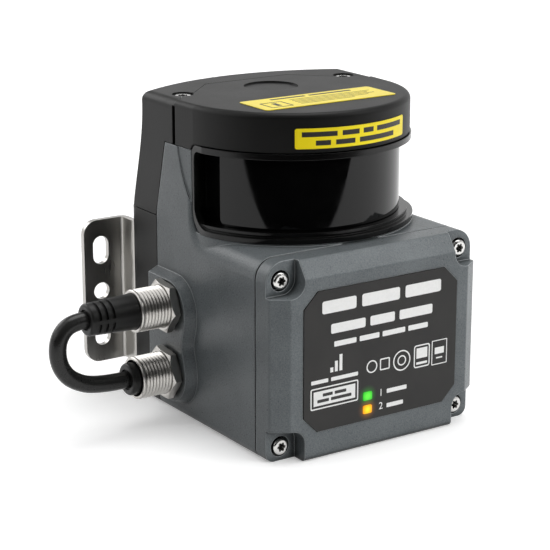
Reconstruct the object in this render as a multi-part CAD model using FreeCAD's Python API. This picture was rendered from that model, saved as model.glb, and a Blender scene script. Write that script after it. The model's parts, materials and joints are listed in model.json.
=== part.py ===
import FreeCAD, Part
import math
import os
from collections import namedtuple

# Compact safety laser scanner: cast base, curved window head, two sockets with a jumper lead, wall bracket.
# Millimetres. The origin is the scan axis on the base plane, the front faces -Y and the sockets face -X.

V = FreeCAD.Vector
x_axis = V(1, 0, 0)
y_axis = V(0, 1, 0)
z_axis = V(0, 0, 1)

# Clearances
seam_gap = 0.4            # shadow line between two casings
front_seam = 0.9          # the front cover's is wider
slip = 0.1                # radial play of a fixed piece in its hole
running = 0.03            # radial play of the spindle in its bearings
through = 0.3             # radial play of a screw in a plain hole
reach = 300.0             # length of a cutting tool that goes right through
over = 5.0                # a cutting tool stands this far clear of the piece

# Screws: head radius and height, shank radius, length under the head
Screw = namedtuple("Screw", "head height shank length")
cover_screw_radius = 3.5
cover_screw_height = 4.0
cover_screw_shank = 2.0
cover_screw_length = 16.0
cover_screw = Screw(cover_screw_radius, cover_screw_height, cover_screw_shank, cover_screw_length)
rear_screw_radius = 3.9
rear_screw_height = 3.6
rear_screw_shank = 2.0
rear_screw_length = 30.0
rear_screw = Screw(rear_screw_radius, rear_screw_height, rear_screw_shank, rear_screw_length)
bracket_screw_radius = 4.5
bracket_screw_height = 3.4
bracket_screw_shank = 2.4
bracket_screw_length = 10.0
bracket_screw = Screw(bracket_screw_radius, bracket_screw_height, bracket_screw_shank, bracket_screw_length)
head_screw_radius = 4.2
head_screw_height = 4.7
head_screw_shank = 2.0
head_screw_length = 22.0
head_screw = Screw(head_screw_radius, head_screw_height, head_screw_shank, head_screw_length)
small_screw_radius = 2.6
small_screw_height = 2.0
small_screw_shank = 1.4
small_screw_length = 8.0
small_screw = Screw(small_screw_radius, small_screw_height, small_screw_shank, small_screw_length)
short_screw_radius = 2.2
short_screw_height = 1.6
short_screw_shank = 1.2
short_screw_length = 4.0
short_screw = Screw(short_screw_radius, short_screw_height, short_screw_shank, short_screw_length)
head_round = 0.25         # these four are shares of the head's height or radius
drive_depth = 0.6
drive_circle = 0.4
drive_lobe = 0.15
hole_end = 1.0            # drilled past the end of a screw, or left solid behind it

# Base casting
body_width = 102.0
deck_height = 82.4
deck_thickness = 4.4
front_reach = 51.5        # scan axis to the front seam
rear_reach = 23.5         # scan axis to the rear seam
casting_wall = 4.0
edge_radius = 8.5         # rounding along the deck's long edges
base_radius = 4.0         # rounding along the base
pillar_edge = 2.0         # rounding of the pillars' front edges
cavity_radius = 5.0
pillar_drop = 18.7        # head's top to the pillar's top
pillar_front = 3.8        # scan axis to the pillar's front face
pillar_rear = 15.6        # scan axis to the pillar's rear edge at its top
pillar_lean_start = 3.6   # the pillar's rear edge leans from this far above the deck
pillar_lean_radius = 25.0
pillar_thickness = 2.0
pillar_sweep = 10.0       # hollow radius from the deck up to the pillar
flat_rear = 5.8           # a flat on the pillar's side starts this far behind the scan axis
flat_bends = ((0.8, 14.8), (-6.1, 24.8))  # its rear edge further down: y, below the pillar's top
flat_depth_rear = 0.4
flat_depth_front = 1.3
boss_radius = 4.5
boss_depth = 12.0
seat_height = 0.8         # raised seat under the window frame
seat_inset = 0.3          # seat edge behind the frame's flange

# Socket pad and sockets
pad_height = 4.6
pad_radius = 15.0         # pad outline in front of and below the sockets
pad_top = 12.5            # upper socket to the pad's top edge
pad_front_draft = 2.4     # the pad's sides lean in by this much
pad_end_draft = 2.0
pad_drop = 3.0            # the lower edge rises this much towards the rear
pad_waist = 2.5
socket_y = 7.0
socket_heights = {"upper": 50.0, "lower": 20.9}
socket_radius = 9.0
socket_wall = 1.2
socket_reach = 17.4       # pad face to the mouth
thread_pitch = 1.5
thread_depth = 0.75
mouth_edge = 0.4
nut_flats = 20.0
nut_height = 3.4
nut_collar = 1.0          # round foot under the hexagon
nut_collar_radius = 9.4
nut_turn = 23.0           # a corner of the nut from straight up, degrees
socket_flange = 1.8       # flange radius beyond the barrel, inside the wall
socket_flange_height = 3.0
seal_height = 1.0
seal_margin = 0.4         # flange edge to the seal's edge
insert_seat = 6.5         # bore radius behind the contact carrier's shoulder
plug_depth = 12.0         # mouth to the contact carrier
carrier_collar = 5.0
barrel_tail = 3.0         # barrel behind its flange
carrier_tail = 0.4        # contact carrier behind the barrel
pin_circle = 3.5
pin_radius = 0.5
pin_count = 4
pin_length = 6.0          # contact inside the plug
pin_play = 0.5            # plug bore beyond the pin's end

# Plugs and jumper lead
upper_plug_radius = 7.6
lower_plug_radius = 6.9
plug_taper = 0.04         # radius lost for each millimetre outside the socket
plug_edge = 1.2
upper_plug_out = 22.0     # mouth to the end of the plug
lower_plug_out = 3.6
groove_count = 3
groove_start = 3.2        # plug end to the first groove
groove_pitch = 3.1
groove_width = 1.2
groove_depth = 1.1
groove_rib = 1.6          # the grooves stop at a rib on either side
entry_play = 0.8          # open ring round the cable in the plug's end
entry_depth = 1.0
cable_radius = 3.6
upper_lead = 6.5          # straight out of the plug before the first bend
lower_lead = 14.4
cable_bends = ((-106.8, 45.2), (-108.1, 38.0), (-106.4, 31.0), (-101.5, 25.2))  # x and height
bend_share = 0.45         # part of each leg given to a bend

# Front cover
cover_flange_height = 6.9  # seam to the floor of the corner pockets
panel_edge = 2.5          # pocket floor to the foot of the bevel
panel_bevel_depth = 4.9
panel_bevel = 7.0
panel_rounding = 1.2
sill_rounding = 2.0       # front edge along the base, which has no bevel
cover_wall = 4.0
front_opening_width = 74.0
front_opening_low = 13.0
front_opening_high = 70.0
front_wall = 4.0
corner_pocket = 13.8
pocket_radius = 6.0
screw_side = 6.8          # screw centre from the casting's side
screw_low = 6.0           # from the base
screw_high = 7.8          # from the deck
cover_counterbore = 4.3
cover_counterbore_depth = 2.8
gasket_width = 2.2
gasket_height = 1.8
gasket_margin = 1.6       # opening edge to the gasket

# Label plate and indicators
plate_half_width = 38.1
plate_low = 11.8
plate_high = 70.0
plate_corner = 6.6
plate_thickness = 0.8
plate_recess = 0.4
indicator_corner = 0.6
indicator_x = -6.9
indicator_width = 4.3
indicator_height = 3.5
indicator_heights = {"power_indicator": 22.1, "status_indicator": 16.4}
indicator_proud = 0.25
board_thickness = 1.6
indicator_board_width = 30.0
indicator_board_low = 13.6
indicator_board_high = 28.0
indicator_board_gap = 3.0  # cover's inner face to the board
indicator_post = 2.6
indicator_post_spacing = 24.0

# Window frame and window
flange_radius = 52.5
flange_height = 2.1
flange_corner = 25.0      # rounding where the flange's arc meets its flat sides
ring_radius = 50.0
ring_height = 4.0
lip_half_width = 50.0     # the frame's lips lie in front of the pillars
upright_front = 5.4       # scan axis to the front of the frame's uprights
rim_radius = 51.3
rim_height = 2.5
frame_back = 3.0          # the frame ends this far behind the scan axis
frame_wall = 3.6
backing_inner = 41.0
backing_band = 4.0        # seat height above and below the window opening
corner_sweep = 9.0
corner_rim = 3.0
window_radius = 46.65
window_thickness = 2.5
window_half_angle = 70.5
window_corner = 3.0       # lower corners; the upper ones are square
window_foot_gap = 0.3     # ring top to the window's lower edge
cheek_step = 1.4          # the cheeks lie this far behind the window's face
cheek_gap = 0.3           # window side to the cheek, degrees
cheek_relief = 0.5        # the cheeks are flat from just behind the window's sides
web_front = 2.4           # scan axis to the web behind each upright
web_overlap = 1.0
window_bond = 0.05
seal_ring_radius = 44.5
seal_ring_width = 2.0
seal_ring_depth = 1.5
frame_screw_circle = 47.5
frame_screw_angles = (-144.0, -115.0, -65.0, -36.0)
frame_screw_cover = 1.2   # solid left over each screw hole

# Head cap, rear shroud and rear cover
head_height = 135.7
head_radius = 50.65
head_side_start = 5.5     # the flat sides start this far in front of the scan axis
cap_rounding = 2.4
shroud_rounding = 3.8
shell_wall = 2.0
cap_seam = 8.2
seam_jog = 3.5            # the seam runs straight in from the side this far
tongue_end = 32.0
tongue_half = 21.0
tongue_shoulder = 35.0
head_screw_x = 40.8
head_screw_y = 17.8
head_screw_hole = 4.6
lug_radius = 6.5
lug_height = 3.0
lug_drop = 11.2           # head's top to the foot of the lugs
rib_width = 9.0
rib_front = 6.0           # rib in front of and behind the cap's seam
rib_rear = 2.4
lug_web_front = 3.0
side_groove_width = 2.2
side_groove_depth = 1.4
emblem_radius = 11.5
emblem_y = 13.5
emblem_depth = 0.7
shroud_rise = 1.9         # deck to the seam under the shroud
back_reach = 48.5         # scan axis to the back
back_corner = 7.0
shroud_corners = ((0.0, 43.2), (12.7, 40.2), (25.7, 36.8))  # above that seam, reach of the corner
shroud_top_corner = 34.5
cover_back_wall = 3.0
rear_counterbore = 4.1
rear_counterbore_depth = 4.4
rear_screw_inset = 7.2
rear_screw_low = 6.0
rear_screw_high = 72.0
main_board_width = 75.0
main_board_low = 8.0
main_board_high = 76.0
main_board_y = 30.0
main_board_hole_x = 33.0
main_board_hole_low = 12.0
main_board_hole_high = 72.0
board_boss = 3.5
board_corner = 2.0
board_chips = ((-18, 30, 20, 20, 2.4), (14, 46, 26, 26, 3.0), (-20, 60, 24, 10, 6.0), (18, 18, 14, 12, 4.0))

# Bracket
sheet = 2.5
bend_inner = 1.5
leg_half_width = 47.5     # outer face of each leg
stand_off = 14.0          # scanner's back to the wall plane
ear_half_width = 66.7
bracket_low = 11.0
bracket_high = 75.6
ear_corner = 6.5
ear_hole_edge = 8.2       # ear's edge to the middle of its holes
ear_hole_radius = 3.75
ear_slot_length = 12.6
ear_slot_spacing = 37.2
bracket_screw_x = 25.0
bracket_screw_spacing = 34.6
bracket_boss = 5.0
bracket_boss_depth = 9.5

# Labels
label_thickness = 0.25
top_label_half = 32.2
top_label_front = 31.9
top_label_rear = 11.3
top_label_corner = 1.5
brow_half_angle = 31.5
brow_drop = 5.9           # head's top to the label's upper edge
brow_height = 8.2
brow_corner = 0.9

# Motor, mirror and encoder
frame_leg_x = 29.0
frame_leg_thickness = 4.0
frame_leg_front = 4.0
frame_leg_depth = 9.0
frame_foot = 5.5
frame_foot_height = 3.0
frame_plate_thickness = 3.0
frame_disc = 17.0
hub_height = 11.0
hub_drop = 2.4            # rotor cup's top to the hub's top
hub_below = 2.0           # hub below the frame's plate
hub_radius = 7.5
hub_shoulder = 9.0
stator_gap = 1.0          # frame's plate to the stator
bearing_radius = 5.0
bearing_width = 4.0
hub_throat = 4.0
spindle_radius = 2.0
stator_radius = 15.0
stator_thickness = 3.0
stator_yoke = 2.0
tooth_count = 9
tooth_width = 3.2
tooth_tip = 1.2
coil_thickness = 0.8
coil_end_gap = 0.3
air_gap = 0.6
magnet_thickness = 1.4
cup_wall = 1.2
cup_height = 7.5
cup_clearance = 1.3       # roof to the rotor cup
cup_boss = 4.0
cup_gap = 0.4             # hub to the cup's boss, and cup edge to the magnet
mirror_radius = 13.5
mirror_hang = 3.7         # encoder disc to the mirror's highest point
mirror_gap = 1.0          # laser tube to the mirror's lowest point
mirror_thickness = 2.0
spindle_seat = 8.0        # mirror's middle to the spindle's lower end
carrier_step = 0.9        # the carrier stands this far inside the mirror
carrier_top_step = 1.5
carrier_hub = 5.5
encoder_radius = 22.0
encoder_thickness = 0.8
slit_count = 24
slit_width = 1.6
slit_length = 2.0
slit_margin = 2.5
encoder_gap = 1.0         # disc to the motor hub
encoder_board_width = 14.0
encoder_board_length = 11.0
encoder_sensor = 0.8
sensor_margin = 1.0
sensor_length = 5.0

# Receiving and sending optics
lens_radius = 17.5
lens_edge = 3.0
lens_crown = 4.0
lens_below = 23.0         # mirror's middle to the lens seat
lens_rim = 2.4            # barrel above the lens edge
lens_step = 1.5
barrel_wall = 1.8
lens_barrel_depth = 42.4
barrel_floor = 2.0
barrel_flange = 5.0
barrel_flange_height = 3.0
barrel_screw_angles = (30.0, 150.0, 270.0)
laser_radius = 5.8
laser_length = 19.5
laser_tail = 4.0
laser_step = 1.5
laser_recess = 2.0
receiver_chip = 3.0
receiver_hole = 4.0
receiver_board_size = 40.0
io_board_front = 12.0
io_board_rear = 20.0
io_board_low = 11.0
io_board_high = 64.0

half_width = body_width / 2
pillar_top = head_height - pillar_drop
pillar_foot = deck_height + pillar_lean_start
shroud_base = deck_height + shroud_rise
lug_base = head_height - lug_drop
brow_high = head_height - brow_drop
brow_low = brow_high - brow_height
deck_low = deck_height - deck_thickness
cavity_half = half_width - casting_wall
pad_face = -half_width - pad_height
inner_wall = -half_width + casting_wall
mouth = pad_face - socket_reach
carrier_face = mouth + plug_depth
cover_back = -front_reach - front_seam
cover_flange_face = cover_back - cover_flange_height
panel_foot = cover_flange_face - panel_edge
panel_face = panel_foot - panel_bevel_depth
cover_inner = panel_face + cover_wall
cover_screw_seat = cover_flange_face + cover_counterbore_depth
plate_face = panel_face + plate_recess - plate_thickness
seat_level = deck_height + seat_height
ring_top = seat_level + ring_height
rim_low = pillar_top
rim_top = rim_low + rim_height
window_low = ring_top + window_foot_gap
window_high = rim_low - window_foot_gap
window_inner = window_radius - window_thickness
rear_joint = rear_reach + seam_gap
back_inner = back_reach - cover_back_wall
roof = head_height - shell_wall
bracket_middle = (bracket_low + bracket_high) / 2
wall_plane = back_reach + stand_off
ear_hole_x = ear_half_width - ear_hole_edge
screw_places = [(sx * (half_width - screw_side), z) for sx in (-1, 1)
                for z in (screw_low, deck_height - screw_high)]
rear_screw_places = [(sx * (half_width - rear_screw_inset), z) for sx in (-1, 1)
                     for z in (rear_screw_low, rear_screw_high)]
bracket_screw_places = [(sx * bracket_screw_x, bracket_middle + sz * bracket_screw_spacing / 2)
                        for sx in (-1, 1) for sz in (-1, 1)]
main_board_places = [(sx * main_board_hole_x, z) for sx in (-1, 1)
                     for z in (main_board_hole_low, main_board_hole_high)]
indicator_middle = sum(indicator_heights.values()) / len(indicator_heights)
board_front = cover_inner + indicator_board_gap
indicator_places = [(indicator_x + s * indicator_post_spacing / 2, indicator_middle) for s in (-1, 1)]
cup_high = roof - cup_clearance
cup_low = cup_high - cup_height
hub_high = cup_high - hub_drop
hub_low = hub_high - hub_height
frame_plate_low = hub_low + hub_below
stator_low = frame_plate_low + frame_plate_thickness + stator_gap
encoder_low = hub_low - encoder_gap - encoder_thickness
mirror_height = encoder_low - mirror_hang - mirror_radius  # where its face crosses the scan axis
carrier_radius = mirror_radius - carrier_step
carrier_high = mirror_height + mirror_radius - carrier_top_step
laser_high = mirror_height - mirror_radius - mirror_gap
laser_low = laser_high - laser_length
lens_low = mirror_height - lens_below
lens_barrel_low = deck_height - lens_barrel_depth
lens_barrel_high = max(deck_height, lens_low + lens_edge + lens_rim)
foot_middle_x = frame_leg_x + frame_leg_thickness + frame_foot / 2
foot_middle_y = frame_leg_front + frame_leg_depth / 2
barrel_outer = lens_radius + slip + barrel_wall
barrel_screw_circle = barrel_outer + barrel_flange / 2
spindle_low = mirror_height + spindle_seat


def block(x0, x1, y0, y1, z0, z1):
    return Part.makeBox(x1 - x0, y1 - y0, z1 - z0, V(x0, y0, z0))


def rod(radius, start, direction, length):
    return Part.makeCylinder(radius, length, start, direction)


def tube(outer, inner, start, direction, length):
    return rod(outer, start, direction, length).cut(rod(inner, start, direction, length))


def in_xy(z):
    return lambda u, v: V(u, v, z)


def in_xz(y):
    return lambda u, v: V(u, y, v)


def in_yz(x):
    return lambda u, v: V(x, u, v)


def outline(corners, place):
    # Closed face from (u, v, radius) corners; each radius is a tangent arc.
    starts, arcs = [], []
    count = len(corners)
    for i in range(count):
        u, v, radius = corners[i]
        before = V(corners[i - 1][0] - u, corners[i - 1][1] - v, 0).normalize()
        after = V(corners[(i + 1) % count][0] - u, corners[(i + 1) % count][1] - v, 0).normalize()
        point = V(u, v, 0)
        if radius == 0:
            starts.append((point, point))
            arcs.append(None)
            continue
        half = before.getAngle(after) / 2
        bisector = (before + after).normalize()
        trim = radius / math.tan(half)
        starts.append((point + before * trim, point + after * trim))
        arcs.append(point + bisector * (radius / math.sin(half) - radius))
    edges = []
    for i in range(count):
        first, last = starts[i]
        if arcs[i] is not None:
            edges.append(Part.Arc(place(first.x, first.y), place(arcs[i].x, arcs[i].y),
                                  place(last.x, last.y)).toShape())
        onward = starts[(i + 1) % count][0]
        if onward.distanceToPoint(last) > 1e-6:
            edges.append(Part.LineSegment(place(last.x, last.y), place(onward.x, onward.y)).toShape())
    return Part.Face(Part.Wire(edges))


def rectangle(u0, u1, v0, v1, radius=0.0):
    return [(u0, v0, radius), (u1, v0, radius), (u1, v1, radius), (u0, v1, radius)]


def prism(corners, place, travel):
    return outline(corners, place).extrude(travel)


def turned(profile, point, axis):
    # Solid of revolution from (radius, distance along the axis) points.
    side = z_axis if abs(axis.z) < 0.5 else x_axis
    points = [point + side * r + axis * a for r, a in profile]
    face = Part.Face(Part.makePolygon(points + [points[0]]))
    return face.revolve(point, axis, 360)


def placed(shape, point, direction):
    copy = shape.copy()
    copy.Placement = FreeCAD.Placement(point, FreeCAD.Rotation(z_axis, direction))
    return copy


def on_circle(radius, angles):
    return [(radius * math.cos(math.radians(a)), radius * math.sin(math.radians(a))) for a in angles]


def screw(size):
    # Pan-head screw along +Z with its seat at zero and a six-lobe recess.
    head = rod(size.head, V(0, 0, 0), z_axis, size.height)
    rim = [e for e in head.Edges if e.BoundBox.ZMin > size.height - 1e-6]
    head = head.makeFillet(size.height * head_round, rim)
    depth = size.height * drive_depth
    floor = size.height - depth
    recess = rod(size.head * drive_circle, V(0, 0, floor), z_axis, depth)
    for x, y in on_circle(size.head * drive_circle, range(0, 360, 60)):
        recess = recess.fuse(rod(size.head * drive_lobe, V(x, y, floor), z_axis, depth))
    shank = rod(size.shank, V(0, 0, -size.length), z_axis, size.length)
    return head.fuse(shank).removeSplitter().cut(recess)


def screws(size, points, direction):
    return Part.makeCompound([placed(screw(size), point, direction) for point in points])


def mirrored(shape):
    return shape.mirror(V(0, 0, 0), x_axis)


def tapped(size, point, direction, length):
    return rod(size.shank + slip, point, direction, length)


def plain_hole(size, point, direction, length):
    return rod(size.shank + through, point, direction, length)


def casting_outline(inset, base_corner, top_corner, base=0):
    # Front view of the casting: tight corners at the base, wide ones at the deck.
    u = half_width - inset
    return [(-u, base + inset, base_corner), (u, base + inset, base_corner),
            (u, deck_height - inset, top_corner), (-u, deck_height - inset, top_corner)]


def pad_outline(x, front_draft, end_draft):
    # Raised pad: round about each socket, a shallow waist between, square at the rear seam.
    radius = pad_radius - front_draft
    front = socket_y - radius
    top = socket_heights["upper"] + pad_top - end_draft
    base = socket_heights["lower"] - pad_radius + end_draft
    high = top - radius
    low = base + radius
    turn = radius * math.sqrt(0.5)
    waist = Part.BSplineCurve()
    waist.interpolate([V(x, front, high), V(x, front + pad_waist, (low + high) / 2), V(x, front, low)],
                      InitialTangent=V(0, 0, -1), FinalTangent=V(0, 0, -1))
    edges = [
        Part.LineSegment(V(x, rear_reach, top), V(x, socket_y, top)).toShape(),
        Part.Arc(V(x, socket_y, top), V(x, socket_y - turn, high + turn), V(x, front, high)).toShape(),
        waist.toShape(),
        Part.Arc(V(x, front, low), V(x, socket_y - turn, low - turn), V(x, socket_y, base)).toShape(),
        Part.LineSegment(V(x, socket_y, base), V(x, rear_reach, base + pad_drop)).toShape(),
        Part.LineSegment(V(x, rear_reach, base + pad_drop), V(x, rear_reach, top)).toShape(),
    ]
    return Part.Wire(edges)


def socket_pad():
    foot = pad_outline(-half_width, 0, 0)
    pad = Part.Face(foot).extrude(V(casting_wall, 0, 0))
    return pad.fuse(Part.makeLoft([foot, pad_outline(pad_face, pad_front_draft, pad_end_draft)], True, True))


def flange_block(inset, low, high):
    # Plan of the frame's foot: an arc across the front and flat sides, rounded where they meet.
    side = lip_half_width - inset
    foot = rod(flange_radius - inset, V(0, 0, low), z_axis, high - low)
    foot = foot.common(block(-side, side, -reach, frame_back, low, high))
    corners = [e for e in foot.Edges if e.BoundBox.ZLength > 1e-3 and e.BoundBox.YMax < 0]
    return foot.makeFillet(flange_corner, corners)


def frame_seat():
    # Flat seat for the window frame, a little above the deck.
    seat = flange_block(seat_inset, deck_low, seat_level)
    return seat.common(block(-reach, reach, -front_reach, reach, deck_low, seat_level))


def pillar_flats():
    # Shallow flat on each pillar's side that leans in; its rear edge curves forward on the way down.
    bends = [V(-reach, y, pillar_top - drop) for y, drop in flat_bends]
    top = V(-reach, flat_rear, pillar_top)
    front = bends[-1].y - over
    corners = [bends[-1], V(-reach, front, bends[-1].z), V(-reach, front, pillar_top + over),
               V(-reach, flat_rear, pillar_top + over), top]
    edges = [Part.Arc(top, *bends).toShape()]
    edges += [Part.LineSegment(a, b).toShape() for a, b in zip(corners, corners[1:])]
    side = Part.Face(Part.Wire(edges)).extrude(V(reach, 0, 0))
    plan = [(-half_width - over, flat_rear, 0), (-half_width + flat_depth_rear, flat_rear, 0),
            (-half_width + flat_depth_front, front, 0), (-half_width - over, front, 0)]
    flat = side.common(prism(plan, in_xy(0), V(0, 0, reach)))
    return flat.fuse(mirrored(flat))


def lower_housing():
    side = [
        (-front_reach, 0, 0), (rear_reach, 0, 0), (rear_reach, pillar_foot, pillar_lean_radius),
        (pillar_rear, pillar_top, 0), (-pillar_front, pillar_top, 0),
        (-pillar_front, deck_height, pillar_sweep), (-front_reach, deck_height, 0),
    ]
    body = prism(side, in_yz(-half_width), V(body_width, 0, 0))
    sweep = []
    for e in body.Edges:
        box = e.BoundBox
        ahead = box.YMax < -pillar_front + 1e-3 and box.ZMin > deck_height - 1e-3
        if ahead and box.XLength < 1e-6 and box.YLength > 1e-3 and box.ZLength > 1e-3:
            sweep.append(e)
    # The rounding narrows from the deck's edge to the pillar's edge along the sweep.
    body = body.makeFillet(pillar_edge, edge_radius, sweep)
    base = [e for e in body.Edges if e.BoundBox.XLength < 1e-6 and e.BoundBox.ZMax < 1e-3]
    body = body.makeFillet(base_radius, base)
    gap = half_width - pillar_thickness
    body = body.cut(block(-gap, gap, -reach, reach, deck_height, reach))
    body = body.cut(pillar_flats())
    body = body.fuse(frame_seat())
    cavity = rectangle(-cavity_half, cavity_half, casting_wall, deck_low, cavity_radius)
    body = body.cut(prism(cavity, in_xz(-front_reach + front_wall), V(0, reach, 0)))
    half_opening = front_opening_width / 2
    opening = rectangle(-half_opening, half_opening, front_opening_low, front_opening_high, cavity_radius)
    body = body.cut(prism(opening, in_xz(-reach), V(0, reach, 0)))
    shell = prism(casting_outline(0, base_radius, edge_radius), in_xz(-front_reach),
                  V(0, front_reach + rear_reach, 0))
    front_boss = front_wall + boss_depth
    for x, z in screw_places:
        body = body.fuse(rod(boss_radius, V(x, -front_reach, z), y_axis, front_boss).common(shell))
    for x, z in rear_screw_places:
        body = body.fuse(rod(boss_radius, V(x, rear_reach, z), -y_axis, boss_depth).common(shell))
    for s in (-1, 1):
        foot = V(s * head_screw_x, head_screw_y, deck_low)
        body = body.fuse(rod(boss_radius, foot, z_axis, lug_base - deck_low))
    body = body.fuse(socket_pad())
    for z in socket_heights.values():
        body = body.cut(rod(socket_radius + slip, V(inner_wall + hole_end, socket_y, z), -x_axis, reach))
    for x, z in screw_places:
        body = body.cut(tapped(cover_screw, V(x, -front_reach, z), y_axis, front_boss - hole_end))
    for x, z in rear_screw_places:
        body = body.cut(tapped(rear_screw, V(x, rear_reach, z), -y_axis, boss_depth - hole_end))
    for s in (-1, 1):
        depth = head_screw.length - 2 * lug_height + hole_end
        body = body.cut(tapped(head_screw, V(s * head_screw_x, head_screw_y, lug_base), -z_axis, depth))
        foot = V(s * foot_middle_x, foot_middle_y, deck_height)
        body = body.cut(tapped(small_screw, foot, -z_axis, deck_thickness))
    for x, y in on_circle(frame_screw_circle, frame_screw_angles):
        body = body.cut(plain_hole(small_screw, V(x, y, deck_low), z_axis, seat_level - deck_low))
    body = body.cut(rod(barrel_outer + slip, V(0, 0, deck_low), z_axis, seat_level - deck_low))
    depth = short_screw.length - barrel_flange_height + hole_end
    for x, y in on_circle(barrel_screw_circle, barrel_screw_angles):
        body = body.cut(tapped(short_screw, V(x, y, deck_low), z_axis, depth))
    return body.removeSplitter()


def plate_corners(margin):
    # Eight-sided label plate.
    u = plate_half_width + margin
    low = plate_low - margin
    high = plate_high + margin
    c = plate_corner
    return [(-u + c, low, 0), (u - c, low, 0), (u, low + c, 0), (u, high - c, 0),
            (u - c, high, 0), (-u + c, high, 0), (-u, high - c, 0), (-u, low + c, 0)]


def gasket_corners(margin):
    wider = gasket_margin + margin
    u = front_opening_width / 2 + wider
    return rectangle(-u, u, front_opening_low - wider, front_opening_high + wider, cavity_radius + wider)


def front_cover():
    # The lower bevel falls below the base and is cut off there.
    overrun = -2 * panel_bevel
    rim = casting_outline(0, base_radius, edge_radius, overrun)
    face = casting_outline(panel_bevel, base_radius / 2, edge_radius / 2, overrun)
    block_part = prism(rim, in_xz(cover_back), V(0, panel_foot - cover_back, 0))
    wires = [outline(rim, in_xz(panel_foot)).OuterWire, outline(face, in_xz(panel_face)).OuterWire]
    bevel = Part.makeLoft(wires, True, True)
    cover = block_part.fuse(bevel).removeSplitter()
    front = [e for e in cover.Edges if e.BoundBox.YLength < 1e-3 and e.BoundBox.YMax < panel_foot + 1e-3]
    cover = cover.makeFillet(panel_rounding, front)
    kept = casting_outline(0, base_radius, edge_radius)
    cover = cover.common(prism(kept, in_xz(cover_back), V(0, panel_face - cover_back, 0)))
    for sx in (-1, 1):
        for low in (True, False):
            inner_x = sx * (half_width - corner_pocket)
            outer_x = sx * (half_width + corner_pocket)
            inner_z = corner_pocket if low else deck_height - corner_pocket
            outer_z = -corner_pocket if low else deck_height + corner_pocket
            pocket = [(inner_x, inner_z, pocket_radius), (outer_x, inner_z, 0), (outer_x, outer_z, 0),
                      (inner_x, outer_z, 0)]
            cover = cover.cut(prism(pocket, in_xz(cover_flange_face), V(0, -reach, 0)))
    sill = [e for e in cover.Edges if e.BoundBox.ZMax < 1e-3 and e.BoundBox.YMax < panel_face + 1e-3]
    cover = cover.makeFillet(sill_rounding, sill)
    half_opening = front_opening_width / 2
    hollow = rectangle(-half_opening, half_opening, front_opening_low, front_opening_high, cavity_radius)
    cover = cover.cut(prism(hollow, in_xz(cover_back), V(0, cover_inner - cover_back, 0)))
    for x, z in indicator_places:
        cover = cover.fuse(rod(indicator_post, V(x, board_front, z), -y_axis, board_front - cover_inner))
    groove = prism(gasket_corners(gasket_width), in_xz(cover_back), V(0, front_seam - gasket_height, 0))
    groove = groove.cut(prism(gasket_corners(0), in_xz(cover_back), V(0, front_seam - gasket_height, 0)))
    cover = cover.cut(groove)
    for x, z in screw_places:
        cover = cover.cut(rod(cover_counterbore, V(x, cover_screw_seat, z), -y_axis, reach))
        cover = cover.cut(plain_hole(cover_screw, V(x, cover_back, z), -y_axis, reach))
    cover = cover.cut(prism(plate_corners(slip), in_xz(panel_face + plate_recess), V(0, -reach, 0)))
    for z in indicator_heights.values():
        cover = cover.cut(indicator_shape(z, slip, reach / 2, -reach))
    for x, z in indicator_places:
        depth = short_screw.length - board_thickness + hole_end
        cover = cover.cut(tapped(short_screw, V(x, board_front, z), -y_axis, depth))
    return cover


def indicator_shape(z, margin, start, travel):
    u = indicator_width / 2 + margin
    v = indicator_height / 2 + margin
    corners = rectangle(indicator_x - u, indicator_x + u, z - v, z + v, indicator_corner)
    return prism(corners, in_xz(start), V(0, travel, 0))


def front_cover_gasket():
    start = in_xz(-front_reach)
    outer = prism(gasket_corners(gasket_width - slip), start, V(0, -gasket_height, 0))
    return outer.cut(prism(gasket_corners(slip), start, V(0, -gasket_height, 0)))


def front_cover_screws():
    return screws(cover_screw, [V(x, cover_screw_seat, z) for x, z in screw_places], -y_axis)


def front_label_plate():
    plate = prism(plate_corners(0), in_xz(panel_face + plate_recess), V(0, -plate_thickness, 0))
    for z in indicator_heights.values():
        plate = plate.cut(indicator_shape(z, slip, 0, -reach))
    return plate


def indicator(name):
    end = plate_face - indicator_proud
    return indicator_shape(indicator_heights[name], 0, board_front, end - board_front)


def indicator_board():
    u = indicator_board_width / 2
    corners = rectangle(indicator_x - u, indicator_x + u, indicator_board_low, indicator_board_high,
                        board_corner)
    board = prism(corners, in_xz(board_front), V(0, board_thickness, 0))
    for x, z in indicator_places:
        board = board.cut(plain_hole(short_screw, V(x, board_front, z), y_axis, board_thickness))
    return board


def indicator_board_screws():
    seat = board_front + board_thickness
    return screws(short_screw, [V(x, seat, z) for x, z in indicator_places], y_axis)


def sector(radius, half_angle, low, high):
    # Pie slice about the scan axis, centred on the front.
    wedge = Part.makeCylinder(radius, high - low, V(0, 0, low), z_axis, 2 * half_angle)
    wedge.rotate(V(0, 0, 0), z_axis, -90 - half_angle)
    return wedge


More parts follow.
